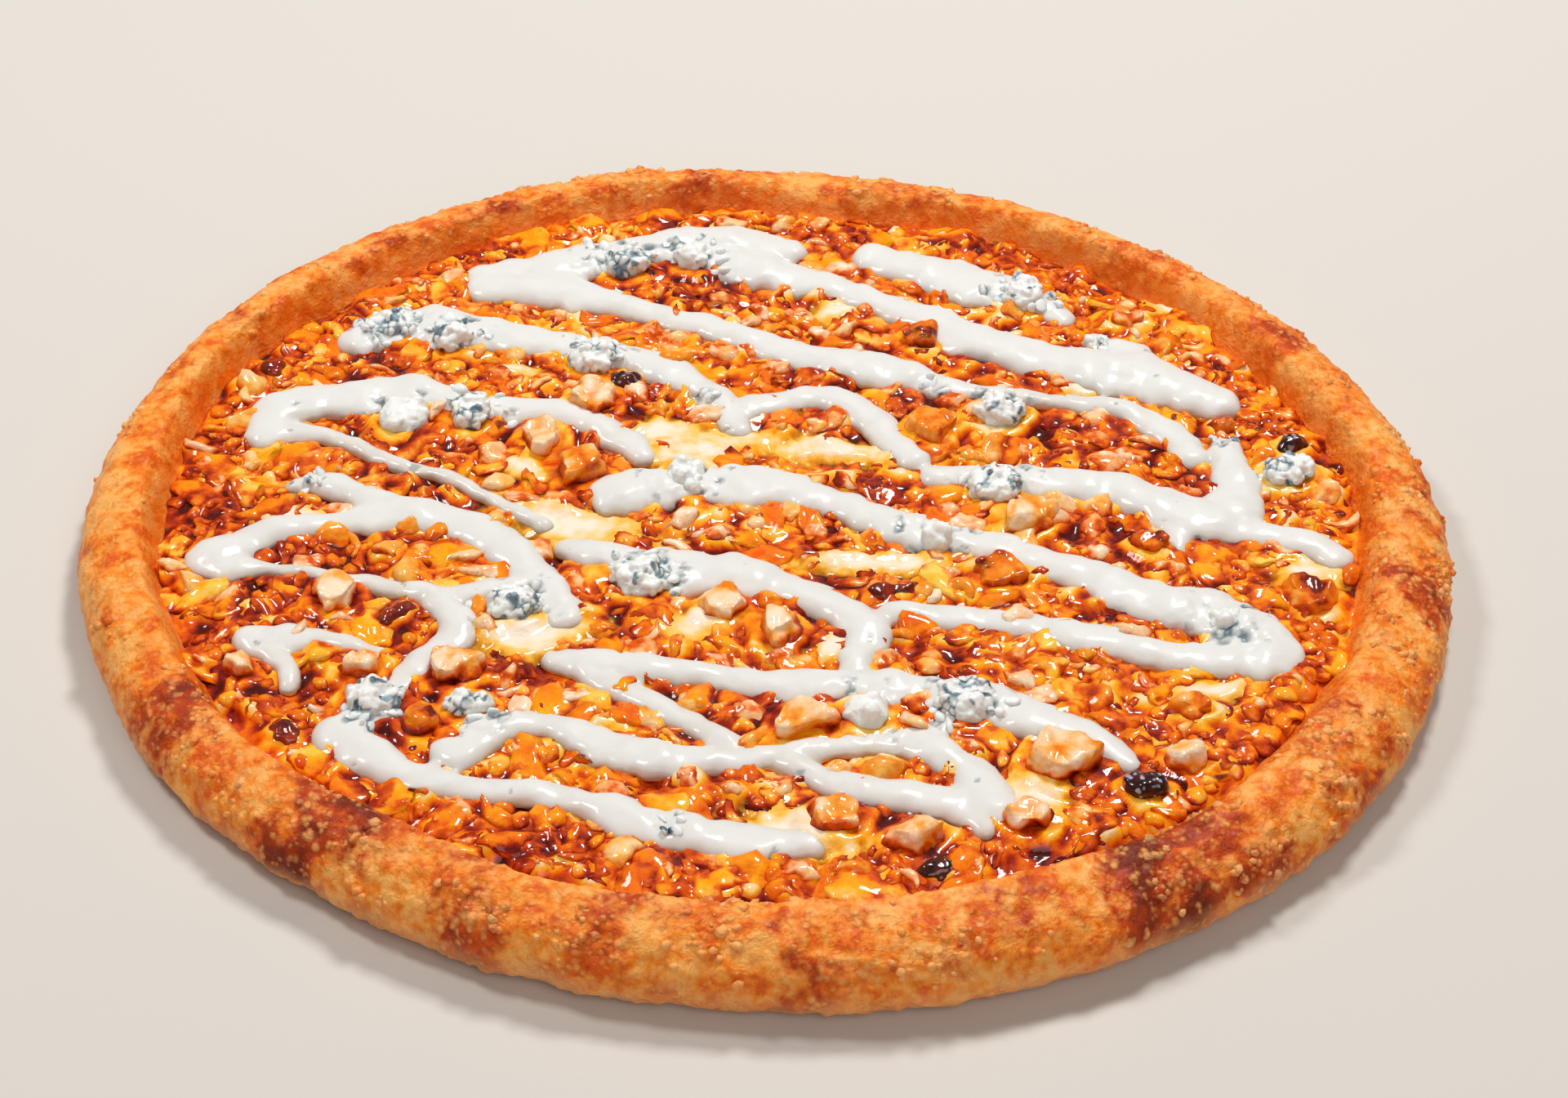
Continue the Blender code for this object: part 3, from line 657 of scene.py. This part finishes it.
paint(dressing, "rise", (places[:, 2] - BED_TOP) / (5 * MM))

look, shader = finish_shader("white dressing", 0.45, coat=0.35, coat_roughness=0.12, subsurface=0.35,
                             glow_depth=0.003)
shader.inputs["Subsurface Radius"].default_value = (1.0, 0.92, 0.8)
# Painted shade: each bead is coloured grey low on its sides and white on top, by its height. The thin foot is
# orange and peach where the sauce shows through.
edge = plus(painted(look, "rise"), drift(look, 170, 3, -0.12, 0.12))
colour = graded(edge, (0.0, (228, 128, 36)), (0.14, (228, 176, 124)), (0.26, (186, 170, 148)),
                (0.46, (216, 211, 203)), (0.8, (227, 227, 224)))
colour_in(shader, mixed(stretch(painted(look, "fleck"), 0.15, 0.8), colour, srgb(104, 122, 128)))
dressing.data.materials.append(look)
paint(dressing, "crumbs", thick * smooth_step(0.0, 0.5, (places[:, 2] - BED_TOP) / (3 * MM)))
wrap_up(dressing, "sauce_and_cheese", "topping")

# Blue cheese is crumbled over by hand: white, knobbly lumps, split along cracks that are lined
# with blue-grey mould. Each is a cluster of small knobs on the form of its solid. Some lie
# half under the dressing, which rounds them off.
CHEESE_GRAIN = 0.55 * MM
KNOBS = 34
SMALLEST_KNOB, LARGEST_KNOB = 1.6 * MM, 5.2 * MM
KNOBS_LOST_UNDER_DRESSING = 0.8


def solids_of(names):
    """The solids of these nodes as one mesh, with their triangles joined."""
    bm = bmesh.new()
    for name in names:
        bm.from_mesh(frame["nodes"][name].data)
    bmesh.ops.remove_doubles(bm, verts=bm.verts, dist=0.01 * MM)
    return bm


def knobs(bm, name, count, draw):
    """Small balls set over the upper side of a node's solid."""
    low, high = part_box(name)
    centre, half = (low + high) / 2, (high - low) / 2
    for _ in range(count):
        turn, level = draw.uniform(0, 2 * math.pi), draw.uniform(-0.25, 1.0)
        flat = math.sqrt(max(0.0, 1 - level * level)) * 0.82
        size = draw.uniform(SMALLEST_KNOB, LARGEST_KNOB)
        spot = Vector((math.cos(turn) * flat * half.x, math.sin(turn) * flat * half.y, level * half.z * 0.80))
        bmesh.ops.create_icosphere(bm, subdivisions=2, radius=size / 2,
                                   matrix=Matrix.Translation(centre + spot))


draw = random.Random(SEED)
clusters = solids_of(blue_cheese_nodes)
for name in blue_cheese_nodes:
    knobs(clusters, name, int(KNOBS * (1 - KNOBS_LOST_UNDER_DRESSING * COATED_CHEESE.get(name, 0.0))), draw)
cheese = melt_together("crumbled_blue_cheese", clusters, CHEESE_GRAIN, 2)
places, normals = vertex_places(cheese), vertex_normals(cheese)
numbers = from_nodes(places, blue_cheese_nodes).argmin(axis=1)
crumbly = 1 - np.array([COATED_CHEESE.get(n, 0.0) for n in blue_cheese_nodes])[numbers]
grains = cells(places, 400)
crack = np.clip(1 - (grains[:, 1] - grains[:, 0]) * 3.4, 0, 1)
vein = (0.3 + 0.7 * crack) * smooth_step(-0.05, 0.3, waves(places, 170, 8.0))
vein = np.maximum(vein, 0.9 * smooth_step(0.22, 0.42, waves(places, 260, 5.0)))
push = 0.8 * waves(places, 210) + 0.4 * waves(places, 480, 3.0)
push += 0.3 * smooth_step(0.7, 0.1, grains[:, 0]) - 0.35 * crack
move_vertices(cheese, places + normals * (push * (0.25 + 0.75 * crumbly))[:, None] * MM)
paint(cheese, "vein", vein * (0.15 + 0.85 * crumbly))
paint(cheese, "rise", (places[:, 2] - BED_TOP) / (8 * MM))
look, shader = finish_shader("blue cheese", 0.4, coat=0.2, coat_roughness=0.25, subsurface=0.3)
pale = graded(painted(look, "rise"), (0.0, (188, 180, 158)), (0.45, (220, 224, 216)), (0.9, (240, 242, 240)))
mould = graded(speckle(look, 420, 3), (0.35, (62, 80, 88)), (0.65, (142, 166, 178)))
colour_in(shader, mixed(stretch(painted(look, "vein"), 0.3, 0.85), pale, mould))
roughen(shader, speckle(look, 800, 3), 0.0005, 0.5)
cheese.data.materials.append(look)
wrap_up(cheese, "blue_cheese", *blue_cheese_nodes)

crumb_shapes = shape_set("crumb", [ball(2)])
look, shader = finish_shader("blue cheese crumbs", 0.45, subsurface=0.3)
mould = plus(stretch(painted(look, "tone"), 0.0, 1.0, 0.1, 0.5),
             stretch(speckle(look, 300, 4), 0.35, 0.65, -0.5, 0.5))
colour_in(shader, graded(mould, (0.0, (240, 242, 240)), (0.55, (224, 230, 230)), (0.75, (150, 172, 184)),
                         (1.0, (74, 92, 100))))
scattered = strew("cheese_crumbs", dressing, crumb_shapes, look, "crumbs", 2.3, 90000,
                  (1.8, 1.6, 1.3), (5.4, 4.4, 3.0), 0.7, 0.0, 2.8, SEED)
drop_shapes(crumb_shapes)
wrap_up(scattered, "blue_cheese")

# Diced chicken and vegetables: pale and fibrous inside, amber where the glaze has caught, and
# a few pieces orange or red-brown all through. Each keeps the form of its solid.
PIECE_GRAIN = 0.6 * MM
CORNERS_CUT = 7
chicken_nodes = sorted(n for n in frame["nodes"] if n.startswith("chicken"))


def whittled(names, draw):
    """The solids of these nodes with several corners of each cut off flat."""
    whole = bmesh.new()
    for name in names:
        bm = solids_of([name])
        low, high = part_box(name)
        centre, half = (low + high) / 2, (high - low) / 2
        for _ in range(CORNERS_CUT):
            turn, level = draw.uniform(0, 2 * math.pi), draw.uniform(-0.1, 0.75)
            way = Vector((math.cos(turn), math.sin(turn), level)).normalized()
            depth = draw.uniform(0.62, 0.85) * Vector((way.x * half.x, way.y * half.y, way.z * half.z)).length
            cut = bmesh.ops.bisect_plane(bm, geom=bm.verts[:] + bm.edges[:] + bm.faces[:],
                                         plane_co=centre + way * depth, plane_no=way, clear_outer=True)
            bmesh.ops.holes_fill(bm, edges=[e for e in cut["geom_cut"] if isinstance(e, bmesh.types.BMEdge)])
        mesh = bpy.data.meshes.new(name)
        bm.to_mesh(mesh)
        bm.free()
        whole.from_mesh(mesh)
        bpy.data.meshes.remove(mesh)
    return whole


# How amber these pieces are all through: 0 is pale and 1 dark red
PLAIN_TONE = 0.2
PIECE_TONES = {"chicken_04": 0.6, "chicken_07": 0.4, "chicken_17": 0.3, "chicken_18": 0.7,
               "chicken_19": 0.6, "chicken_20": 0.45, "chicken_22": 0.8, "chicken_23": 0.55,
               "chicken_24": 0.75, "chicken_25": 0.55}
chicken = melt_together("diced_chicken", whittled(chicken_nodes, draw), PIECE_GRAIN, 2)
places, normals = vertex_places(chicken), vertex_normals(chicken)
numbers = from_nodes(places, chicken_nodes).argmin(axis=1)
fibres = waves(places * (1.9, 0.6, 1.0) + numbers[:, None] * 0.01, 260)
creases = cells(places * (1.0, 0.6, 1.0), 130, 5.0)
crease = np.clip(1 - (creases[:, 1] - creases[:, 0]) * 4.0, 0, 1)
push = 1.4 * waves(places, 110) + 0.7 * waves(places, 230, 3.0) + 0.4 * fibres - 0.7 * crease
move_vertices(chicken, places + normals * push[:, None] * MM)
tones = np.array([PIECE_TONES.get(n, PLAIN_TONE) for n in chicken_nodes])
paint(chicken, "tone", tones[numbers] + 0.2 * crease)


def glazed_look(name, value, *stops):
    """A wet, glazed surface: its own colour on top, running through amber to dark red lower down, partly the
    sauce that coats it and partly painted shade near the bed.
    """
    made, shader = finish_shader(name, 0.45, coat=0.5, coat_roughness=0.05, subsurface=0.12, gloss=0.08)
    own = graded(plus(painted(made, value), drift(made, 130, 4, -0.36, 0.36)), *stops)
    glaze = plus(painted(made, "glaze"), drift(made, 190, 5, -0.34, 0.34))
    syrup_and_shade = graded(stretch(glaze, 0.2, 1.1), (0.0, (250, 152, 12)), (0.34, (230, 94, 0)),
                   (0.66, (158, 34, 0)), (1.0, (80, 6, 0)))
    colour_in(shader, mixed(stretch(glaze, 0.05, 0.5), own, syrup_and_shade))
    roughen(shader, speckle(made, 420, 4), 0.0011, 0.6)
    return made


chicken.data.materials.append(
    glazed_look("glazed chicken", "tone", (0.0, (252, 226, 196)), (0.22, (250, 204, 152)),
                (0.42, (250, 168, 66)), (0.62, (240, 128, 14)), (0.85, (206, 76, 4)),
                (1.0, (112, 22, 4))))
wrap_up(chicken, "diced_chicken", *chicken_nodes)

# Charred bits: pepper and sauce that caught in the oven, nearly black, wrinkled and shiny.
# The last four of them are dark red instead.
FIRST_RED = 4
charred_nodes = sorted(n for n in frame["nodes"] if n.startswith("charred"))
charred = melt_together("charred_bits", solids_of(charred_nodes), PIECE_GRAIN, 5)
places, normals = vertex_places(charred), vertex_normals(charred)
numbers = from_nodes(places, charred_nodes).argmin(axis=1)
push = 1.5 * waves(places, 170) + 0.9 * waves(places, 420, 3.0)
move_vertices(charred, places + normals * push[:, None] * MM)
paint(charred, "reddish", (numbers >= FIRST_RED).astype(float))
look, shader = finish_shader("charred and shiny", 0.25, coat=0.8, coat_roughness=0.08)
black = graded(speckle(look, 300, 3), (0.4, (34, 8, 8)), (0.7, (100, 34, 22)))
red = graded(speckle(look, 240, 3), (0.35, (82, 14, 10)), (0.7, (170, 52, 20)))
salt = times(pebbles(look, 620), stretch(speckle(look, 240, 2), 0.4, 0.6))
black = mixed(stretch(salt, 0.3, 0.6), black, srgb(168, 168, 188))
colour_in(shader, mixed(painted(look, "reddish"), black, red))
charred.data.materials.append(look)
wrap_up(charred, "charred_bits", *charred_nodes)

# The small bits bake into the cheese all over the bed: orange nuggets thick along the rim,
# chopped chicken and nuts, pools of amber cheese, curled slivers and red scraps. Each kind is
# strewn on a flat carrier the size of the bed, clear of the larger pieces.
BED_GRID = 290
LEAST_SWATHE = 6.5 * MM

# Puddles of melted cream as x, y, half length, half width in millimetres and turn in degrees
cream_puddles = (
    (18, 27, 27, 6, -8), (-18, 29, 17, 10, 20), (-52, -6, 20, 9, -15), (30, -24, 27, 5, -3),
    (-62, -53, 17, 8, 10), (2, -127, 15, 8, -20), (-30, 37, 9, 6, 0), (46, 39, 8, 6, 40),
    (-20, -48, 10, 7, 30), (57, -116, 12, 8, 0), (108, -76, 10, 4, 10), (140, -28, 10, 6, 10),
    (-128, -3, 10, 4, 10), (88, 56, 8, 3, 0), (20, 96, 8, 5, 30), (-70, 66, 8, 3, 0),
    (-66, 18, 9, 4, -40), (36, -100, 5, 4, 0), (118, 98, 8, 4, -40), (14, -58, 7, 5, 60),
)


def disc_mesh(cells_across, radius_at, extra=0.0):
    """A square grid bent into a disc: its places and quads."""
    u, v = [g.reshape(-1) for g in np.meshgrid(*[np.linspace(-1, 1, cells_across + 1)] * 2, indexing="ij")]
    x, y = u * np.sqrt(1 - v * v / 2), v * np.sqrt(1 - u * u / 2)
    reach = radius_at(np.arctan2(y, x)) + extra
    i = (np.arange(cells_across)[:, None] * (cells_across + 1) + np.arange(cells_across)[None]).reshape(-1)
    quads = np.stack([i, i + cells_across + 1, i + cells_across + 2, i + 1], 1)
    return np.stack([x * reach, y * reach, np.full(len(x), BED_TOP)], 1), quads


def inside(puddles, places):
    """How deep each place lies in the nearest puddle: 1 in its middle, 0 at its edge."""
    depth = np.full(len(places), -1.0)
    for x, y, length, width, turn in puddles:
        a = math.radians(turn)
        offset = places[:, :2] - BED_CENTRE - np.array((x, y)) * MM
        along = (offset[:, 0] * math.cos(a) + offset[:, 1] * math.sin(a)) / (length * MM)
        across = (-offset[:, 0] * math.sin(a) + offset[:, 1] * math.cos(a)) / (width * MM)
        depth = np.maximum(depth, 1 - np.hypot(along, across))
    return depth


def off_the_dressing(places):
    """Distance from each place to the edge of the nearest bead."""
    room = np.full(len(places), 1.0)
    for route in routes:
        for x, y, half in route[::3]:
            room = np.minimum(room, np.hypot(places[:, 0] - x, places[:, 1] - y) - max(half, LEAST_SWATHE))
    return room


def off_the_pieces(places):
    """Distance from each place to the edge of the nearest larger piece."""
    room = np.full(len(places), 1.0)
    for name in blue_cheese_nodes + chicken_nodes + charred_nodes:
        low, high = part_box(name)
        centre = (low + high) / 2
        half = (high.xy - low.xy).length * 0.34
        room = np.minimum(room, np.hypot(places[:, 0] - centre.x, places[:, 1] - centre.y) - half)
    return room


carrier_places, carrier_quads = disc_mesh(BED_GRID // 2, bed_radius)
carrier = new_piece("carrier", carrier_places, carrier_quads.tolist())
share_out = np.hypot(carrier_places[:, 0], carrier_places[:, 1])
share_out /= bed_radius(np.arctan2(carrier_places[:, 1], carrier_places[:, 0]))
clear = smooth_step(-0.004, -0.002, off_the_dressing(carrier_places))
clear *= smooth_step(-0.0005, 0.0005, off_the_pieces(carrier_places))
clear *= 1 - smooth_step(0.980, 0.988, share_out)
puddle = inside(cream_puddles, carrier_places)
patchy = waves(carrier_places, 30, 1.5)
by_the_rim = smooth_step(0.62, 0.85, share_out + 0.16 * patchy)
paint(carrier, "everywhere", clear * (1 - smooth_step(-0.1, 0.25, puddle)))
paint(carrier, "by_the_rim", clear * by_the_rim * (1 - smooth_step(0.0, 0.2, puddle)))
paint(carrier, "middle", clear * (1 - 0.75 * by_the_rim) * (1 - smooth_step(0.1, 0.5, puddle)))


def chopped(draw, detail, cuts):
    """A lump with flat cut sides at random angles."""
    bm = ball(detail)
    planes = []
    for _ in range(cuts):
        level, turn = draw.uniform(-1, 1), draw.uniform(0, 2 * math.pi)
        flat = math.sqrt(1 - level * level)
        way = Vector((flat * math.cos(turn), flat * math.sin(turn), level))
        planes.append((way, draw.uniform(0.27, 0.42)))
    for v in bm.verts:
        way = v.co.normalized()
        reach = min([0.52] + [depth / way.dot(normal) for normal, depth in planes if way.dot(normal) > 0.1])
        v.co = way * reach
    return bm


def curl(steps, bend):
    """A thin curved sliver, thick in its middle."""
    bm = bmesh.new()
    rings = []
    for t in np.linspace(0, 1, steps + 1):
        swing = math.radians(bend) * (2 * t - 1)
        girth = 0.05 + 0.17 * math.sin(math.pi * t)
        outward = Vector((math.sin(swing), math.cos(swing), 0))
        centre = outward * (0.5 / math.sin(math.radians(bend))) - Vector((0, 0.4, 0))
        turns = np.linspace(0, 2 * math.pi, 6, endpoint=False)
        ring = [outward * (girth * math.cos(a)) + Vector((0, 0, 0.5 * math.sin(a))) for a in turns]
        rings.append([bm.verts.new(centre + spot) for spot in ring])
    for low, high in zip(rings, rings[1:]):
        for a in range(6):
            bm.faces.new((low[a], low[(a + 1) % 6], high[(a + 1) % 6], high[a]))
    bm.faces.new(list(reversed(rings[0])))
    bm.faces.new(rings[-1])
    bmesh.ops.recalc_face_normals(bm, faces=bm.faces)
    return bm


nugget_shapes = shape_set("nugget", [chopped(draw, 2, 3) for _ in range(5)])
chopped_shapes = shape_set("chopped", [chopped(draw, 3, 8) for _ in range(6)])
melt_shapes = shape_set("melt", [chopped(draw, 3, 4) for _ in range(4)])
curl_shapes = shape_set("curl", [curl(8, 65), curl(8, 35), curl(8, 80)])
orange_stops = ((0.0, (216, 78, 0)), (0.3, (242, 124, 2)), (0.6, (250, 166, 16)),
                (0.85, (252, 198, 84)), (1.0, (248, 222, 174)))
pale_stops = ((0.0, (244, 140, 24)), (0.3, (250, 184, 84)), (0.55, (250, 212, 150)),
              (0.75, (247, 196, 154)), (1.0, (252, 230, 198)))
yellow_stops = ((0.0, (236, 92, 0)), (0.35, (250, 138, 0)), (0.7, (254, 176, 10)),
                (1.0, (254, 208, 90)))
red_stops = ((0.0, (84, 8, 4)), (0.5, (140, 26, 4)), (1.0, (210, 66, 6)))
# Each kind's name, shapes, look and colours, where it lies, its spacing, density, smallest and
# largest size, tilt, lift and unevenness, with lengths in millimetres
kinds = (
    ("orange_nuggets", nugget_shapes, "glazed nuggets", orange_stops,
     "by_the_rim", 4.2, 90000, (4.8, 4.0, 3.4), (9.0, 7.0, 5.4), 0.5, 0.2, 3.0),
    ("small_nuggets", nugget_shapes, "small glazed bits", orange_stops,
     "everywhere", 5.6, 30000, (3.4, 3.0, 2.6), (9.0, 7.0, 5.0), 0.6, 0.2, 3.2),
    ("chopped_chicken", chopped_shapes, "chopped chicken", pale_stops,
     "middle", 7.4, 30000, (7.5, 6.5, 5.0), (15.0, 12.0, 7.6), 0.55, 0.4, 4.2),
    ("melted_amber_cheese", melt_shapes, "amber cheese", yellow_stops,
     "everywhere", 8.2, 30000, (11.0, 8.0, 3.8), (24.0, 16.0, 6.0), 0.25, 0.1, 5.0),
    ("curled_slivers", curl_shapes, "slivers", pale_stops,
     "everywhere", 12.0, 7000, (6.0, 6.0, 2.2), (11.0, 9.0, 3.6), 0.35, 1.2, 1.8),
    ("red_scraps", chopped_shapes, "red scraps", red_stops,
     "everywhere", 11.0, 9000, (4.0, 3.0, 2.0), (12.0, 6.0, 4.0), 0.6, 0.8, 2.6),
)
bits = []
for number, (name, shapes, look, stops, *strewn) in enumerate(kinds):
    bits.append(strew(name, carrier, shapes, glazed_look(look, "tone", *stops), *strewn, SEED + number))
    wrap_up(bits[-1], "sauce_and_cheese", "topping")
for group in (nugget_shapes, chopped_shapes, melt_shapes, curl_shapes):
    drop_shapes(group)
bpy.data.objects.remove(carrier)

# The bed is tomato sauce under melted cheese, baked until it is glossy: dark red in the gaps,
# orange over the bits and cream where the cheese lies thick. The dark red in the gaps is partly
# the sauce and partly painted shade, and the paler raised places are partly painted light.
# It rises against everything that lies in it, as melted cheese does, and its cream puddles
# stand a little higher.
BED_UNDERSIDE = 9.3 * MM
CREAM_THICKNESS = 1.9 * MM
MAP_CELL = 0.6 * MM
MAP_SIZE = 560
CLING_SLOPE = 0.85
CLING_REACH = 7
CLING_LIMIT = 3.2 * MM
BED_ROUGHNESS = 0.95 * MM
EDGE_DIP = 0.6 * MM
CLING_SHARE = 0.92
CLING_SHARES = (0.68, 1.2)
# How high the sauce and the painted shade near the bed run up the bits and how much of them they cover, and
# where that differs
SAUCED_AND_SHADED = (2.0 * MM, 0.74)
SAUCED_AND_SHADED_OTHERWISE = {"diced_chicken": (4.6 * MM, 0.7), "chopped_chicken": (2.8 * MM, 0.62)}


def height_map(pieces):
    """Highest vertex over each cell of the bed, spread outwards as cones and softened."""
    level = np.zeros((MAP_SIZE, MAP_SIZE))
    for piece in pieces:
        places = vertex_places(piece)
        cell = np.clip((places[:, :2] / MAP_CELL + MAP_SIZE / 2).astype(int), 0, MAP_SIZE - 1)
        np.maximum.at(level, (cell[:, 0], cell[:, 1]), places[:, 2] - BED_TOP)
    for _ in range(CLING_REACH):
        for axis in (0, 1):
            for way in (-1, 1):
                level = np.maximum(level, np.roll(level, way, axis) - CLING_SLOPE * MAP_CELL)
    for _ in range(3):
        for axis in (0, 1):
            level = (np.roll(level, 1, axis) + 2 * level + np.roll(level, -1, axis)) / 4
    return level


def read_map(level, places):
    """The map's value at each place, blended between its cells."""
    spot = places[:, :2] / MAP_CELL + MAP_SIZE / 2 - 0.5
    i = np.floor(spot).astype(int)
    u, v = (spot - i).T
    a, b = i.T
    return (level[a, b] * (1 - u) * (1 - v) + level[a + 1, b] * u * (1 - v)
            + level[a, b + 1] * (1 - u) * v + level[a + 1, b + 1] * u * v)


def creaminess(places):
    return inside(cream_puddles, places) + 0.4 * waves(places, 110) + 0.25 * waves(places, 330, 2.0)


def bed_rise(places, cream, level):
    """How far the bed stands over its foot height: its own relief, its cling and its cream."""
    melt = smooth_step(-0.15, 0.45, cream)
    rough = 0.8 * waves(places, 85) + 0.6 * waves(places, 190, 3.0) + 0.35 * waves(places, 450, 6.0)
    share = np.clip(CLING_SHARE + 0.45 * waves(places, 48, 9.0), *CLING_SHARES)
    rise = BED_ROUGHNESS * rough * (1 - 0.7 * melt) + share * np.clip(read_map(level, places), 0, CLING_LIMIT)
    return rise * (1 - 0.45 * melt) + CREAM_THICKNESS * melt


bed, quads = disc_mesh(BED_GRID, bed_radius, 0.8 * MM)
share_out = np.hypot(bed[:, 0], bed[:, 1]) / bed_radius(np.arctan2(bed[:, 1], bed[:, 0]))
level = height_map(bits + [cheese, chicken, charred])
cream = creaminess(bed)
rise = bed_rise(bed, cream, level)
blurred = rise.reshape(BED_GRID + 1, BED_GRID + 1)
for _ in range(14):
    blurred = np.pad(blurred, 1, mode="edge")
    blurred = (blurred[:-2] + 2 * blurred[1:-1] + blurred[2:]) / 4
    blurred = (blurred[:, :-2] + 2 * blurred[:, 1:-1] + blurred[:, 2:]) / 4
hollow = rise - blurred.reshape(-1)
rise -= EDGE_DIP * smooth_step(0.975, 1.0, share_out)
bed[:, 2] += rise
# Painted shade: each bit is coloured darker red the nearer it lies to the bed, partly for the sauce that coats
# it and partly as contact shade.
for piece in bits + [chicken]:
    places = vertex_places(piece)
    flat = places * (1, 1, 0) + (0, 0, BED_TOP)
    clear_of = places[:, 2] - BED_TOP - bed_rise(flat, creaminess(flat), level)
    high, cover = SAUCED_AND_SHADED_OTHERWISE.get(piece.name, SAUCED_AND_SHADED)
    sauce_and_shade_noise = 0.35 * waves(places, 120, 6.0) - 0.3 * waves(places, 26, 6.0)
    paint(piece, "glaze", cover - clear_of / high + sauce_and_shade_noise)
side = np.arange(BED_GRID + 1)
border = np.concatenate([side[:-1] * (BED_GRID + 1), BED_GRID * (BED_GRID + 1) + side[:-1],
                         side[:0:-1] * (BED_GRID + 1) + BED_GRID, side[:0:-1]])
under = bed[border].copy()
under[:, 2] = BED_UNDERSIDE
count = len(bed)
skirt = [(int(border[k]), int(border[(k + 1) % len(border)]), count + (k + 1) % len(border), count + k)
         for k in range(len(border))]
floor_fan = [(count + (k + 1) % len(border), count + k, count + len(border)) for k in range(len(border))]
everything = np.vstack([bed, under, [(0, 0, BED_UNDERSIDE)]])
sauce = new_piece("sauce_and_cheese_bed", everything, quads.tolist() + [f[::-1] for f in skirt + floor_fan])
bm = bmesh.new()
bm.from_mesh(sauce.data)
bmesh.ops.recalc_face_normals(bm, faces=bm.faces)
bm.to_mesh(sauce.data)
bm.free()
spare = np.zeros(len(border) + 1)
zone = 0.8 * waves(bed, 26, 6.0) + 0.9 * waves(bed, 60, 2.0) + bed[:, 0] / 0.8
paint(sauce, "cream", np.append(cream, spare - 1))
paint(sauce, "zone", np.append(zone, spare))
paint(sauce, "rise", np.append(0.40 + hollow / (2.2 * MM), spare))

look, shader = finish_shader("baked sauce and cheese", 0.45, coat=0.5, coat_roughness=0.05, subsurface=0.08,
                             gloss=0.08)
# The colour follows the local relief. The hollows are dark red, partly sauce and partly painted shade. The
# rises are pale, partly cheese and partly painted light.
shade = plus(painted(look, "rise"), stretch(painted(look, "zone"), -1.0, 1.0, -0.4, 0.4),
             drift(look, 150, 6, -0.26, 0.26, 0.6))
colour = graded(shade, (0.0, (76, 6, 0)), (0.18, (148, 28, 0)), (0.36, (216, 80, 0)),
                (0.51, (243, 128, 0)), (0.66, (252, 168, 14)), (0.82, (253, 198, 84)),
                (1.0, (249, 222, 174)))
cream_edge = plus(painted(look, "cream"), drift(look, 300, 5, -0.2, 0.2))
melted = graded(cream_edge, (0.0, (251, 170, 24)), (0.22, (252, 196, 84)),
                (0.5, (249, 218, 170)), (0.8, (247, 232, 212)))
colour = mixed(stretch(cream_edge, -0.35, 0.15), colour, melted)
colour_in(shader, colour)
roughen(shader, speckle(look, 520, 5), 0.0009, 0.5)
sauce.data.materials.append(look)
wrap_up(sauce, "sauce_and_cheese", "topping")

# The studio: a pale floor, a soft key light from behind on the right, a weaker one from behind on
# the left, a wide faint one in front, and the camera at the photograph's place.
floor_mesh = bpy.data.meshes.new("floor")
floor_mesh.from_pydata([(-3, -3, 0), (3, -3, 0), (3, 3, 0), (-3, 3, 0)], [], [(0, 1, 2, 3)])
floor = link(bpy.data.objects.new("floor", floor_mesh))
floor_look, shader = finish_shader("pale floor", 0.7)
shader.inputs["Base Color"].default_value = srgb(214, 210, 204)
floor_mesh.materials.append(floor_look)


def soft_light(name, place, size, power, colour):
    lamp = bpy.data.lights.new(name, "AREA")
    lamp.size = size
    lamp.energy = power
    lamp.color = colour
    light = link(bpy.data.objects.new(name, lamp))
    light.location = place
    light.rotation_euler = (-Vector(place)).to_track_quat("-Z", "Y").to_euler()


DAYLIGHT, BACKDROP_STRENGTH = (1.0, 0.98, 0.96), 0.16
soft_light("key", (0.35, 0.75, 1.35), 0.32, 16.5, (1.0, 0.98, 0.95))
soft_light("left", (-0.85, 0.3, 1.3), 0.3, 9, DAYLIGHT)
soft_light("front", (0.3, -1.2, 1.0), 0.9, 6.5, DAYLIGHT)
world = bpy.data.worlds.new("studio")
world.use_nodes = True
backdrop = world.node_tree.nodes["Background"].inputs
backdrop["Color"].default_value = (1.0, 0.95, 0.88, 1.0)
backdrop["Strength"].default_value = BACKDROP_STRENGTH
bpy.context.scene.world = world

LENS = 76.4
CAMERA_PLACE = Vector((-25.6, -709.4, 540.9)) * MM
CAMERA_AIM = Vector((5.0, 2.6, 0.0)) * MM
CAMERA_ROLL = math.radians(1.35)
lens = bpy.data.cameras.new("camera")
lens.lens = LENS
lens.sensor_width = 36.0
camera = link(bpy.data.objects.new("camera", lens))
camera.location = CAMERA_PLACE
level = (CAMERA_AIM - CAMERA_PLACE).to_track_quat("-Z", "Y")
camera.rotation_euler = (level @ Quaternion((0, 0, 1), CAMERA_ROLL)).to_euler()
bpy.context.scene.camera = camera
bpy.context.scene.view_settings.view_transform = "Standard"
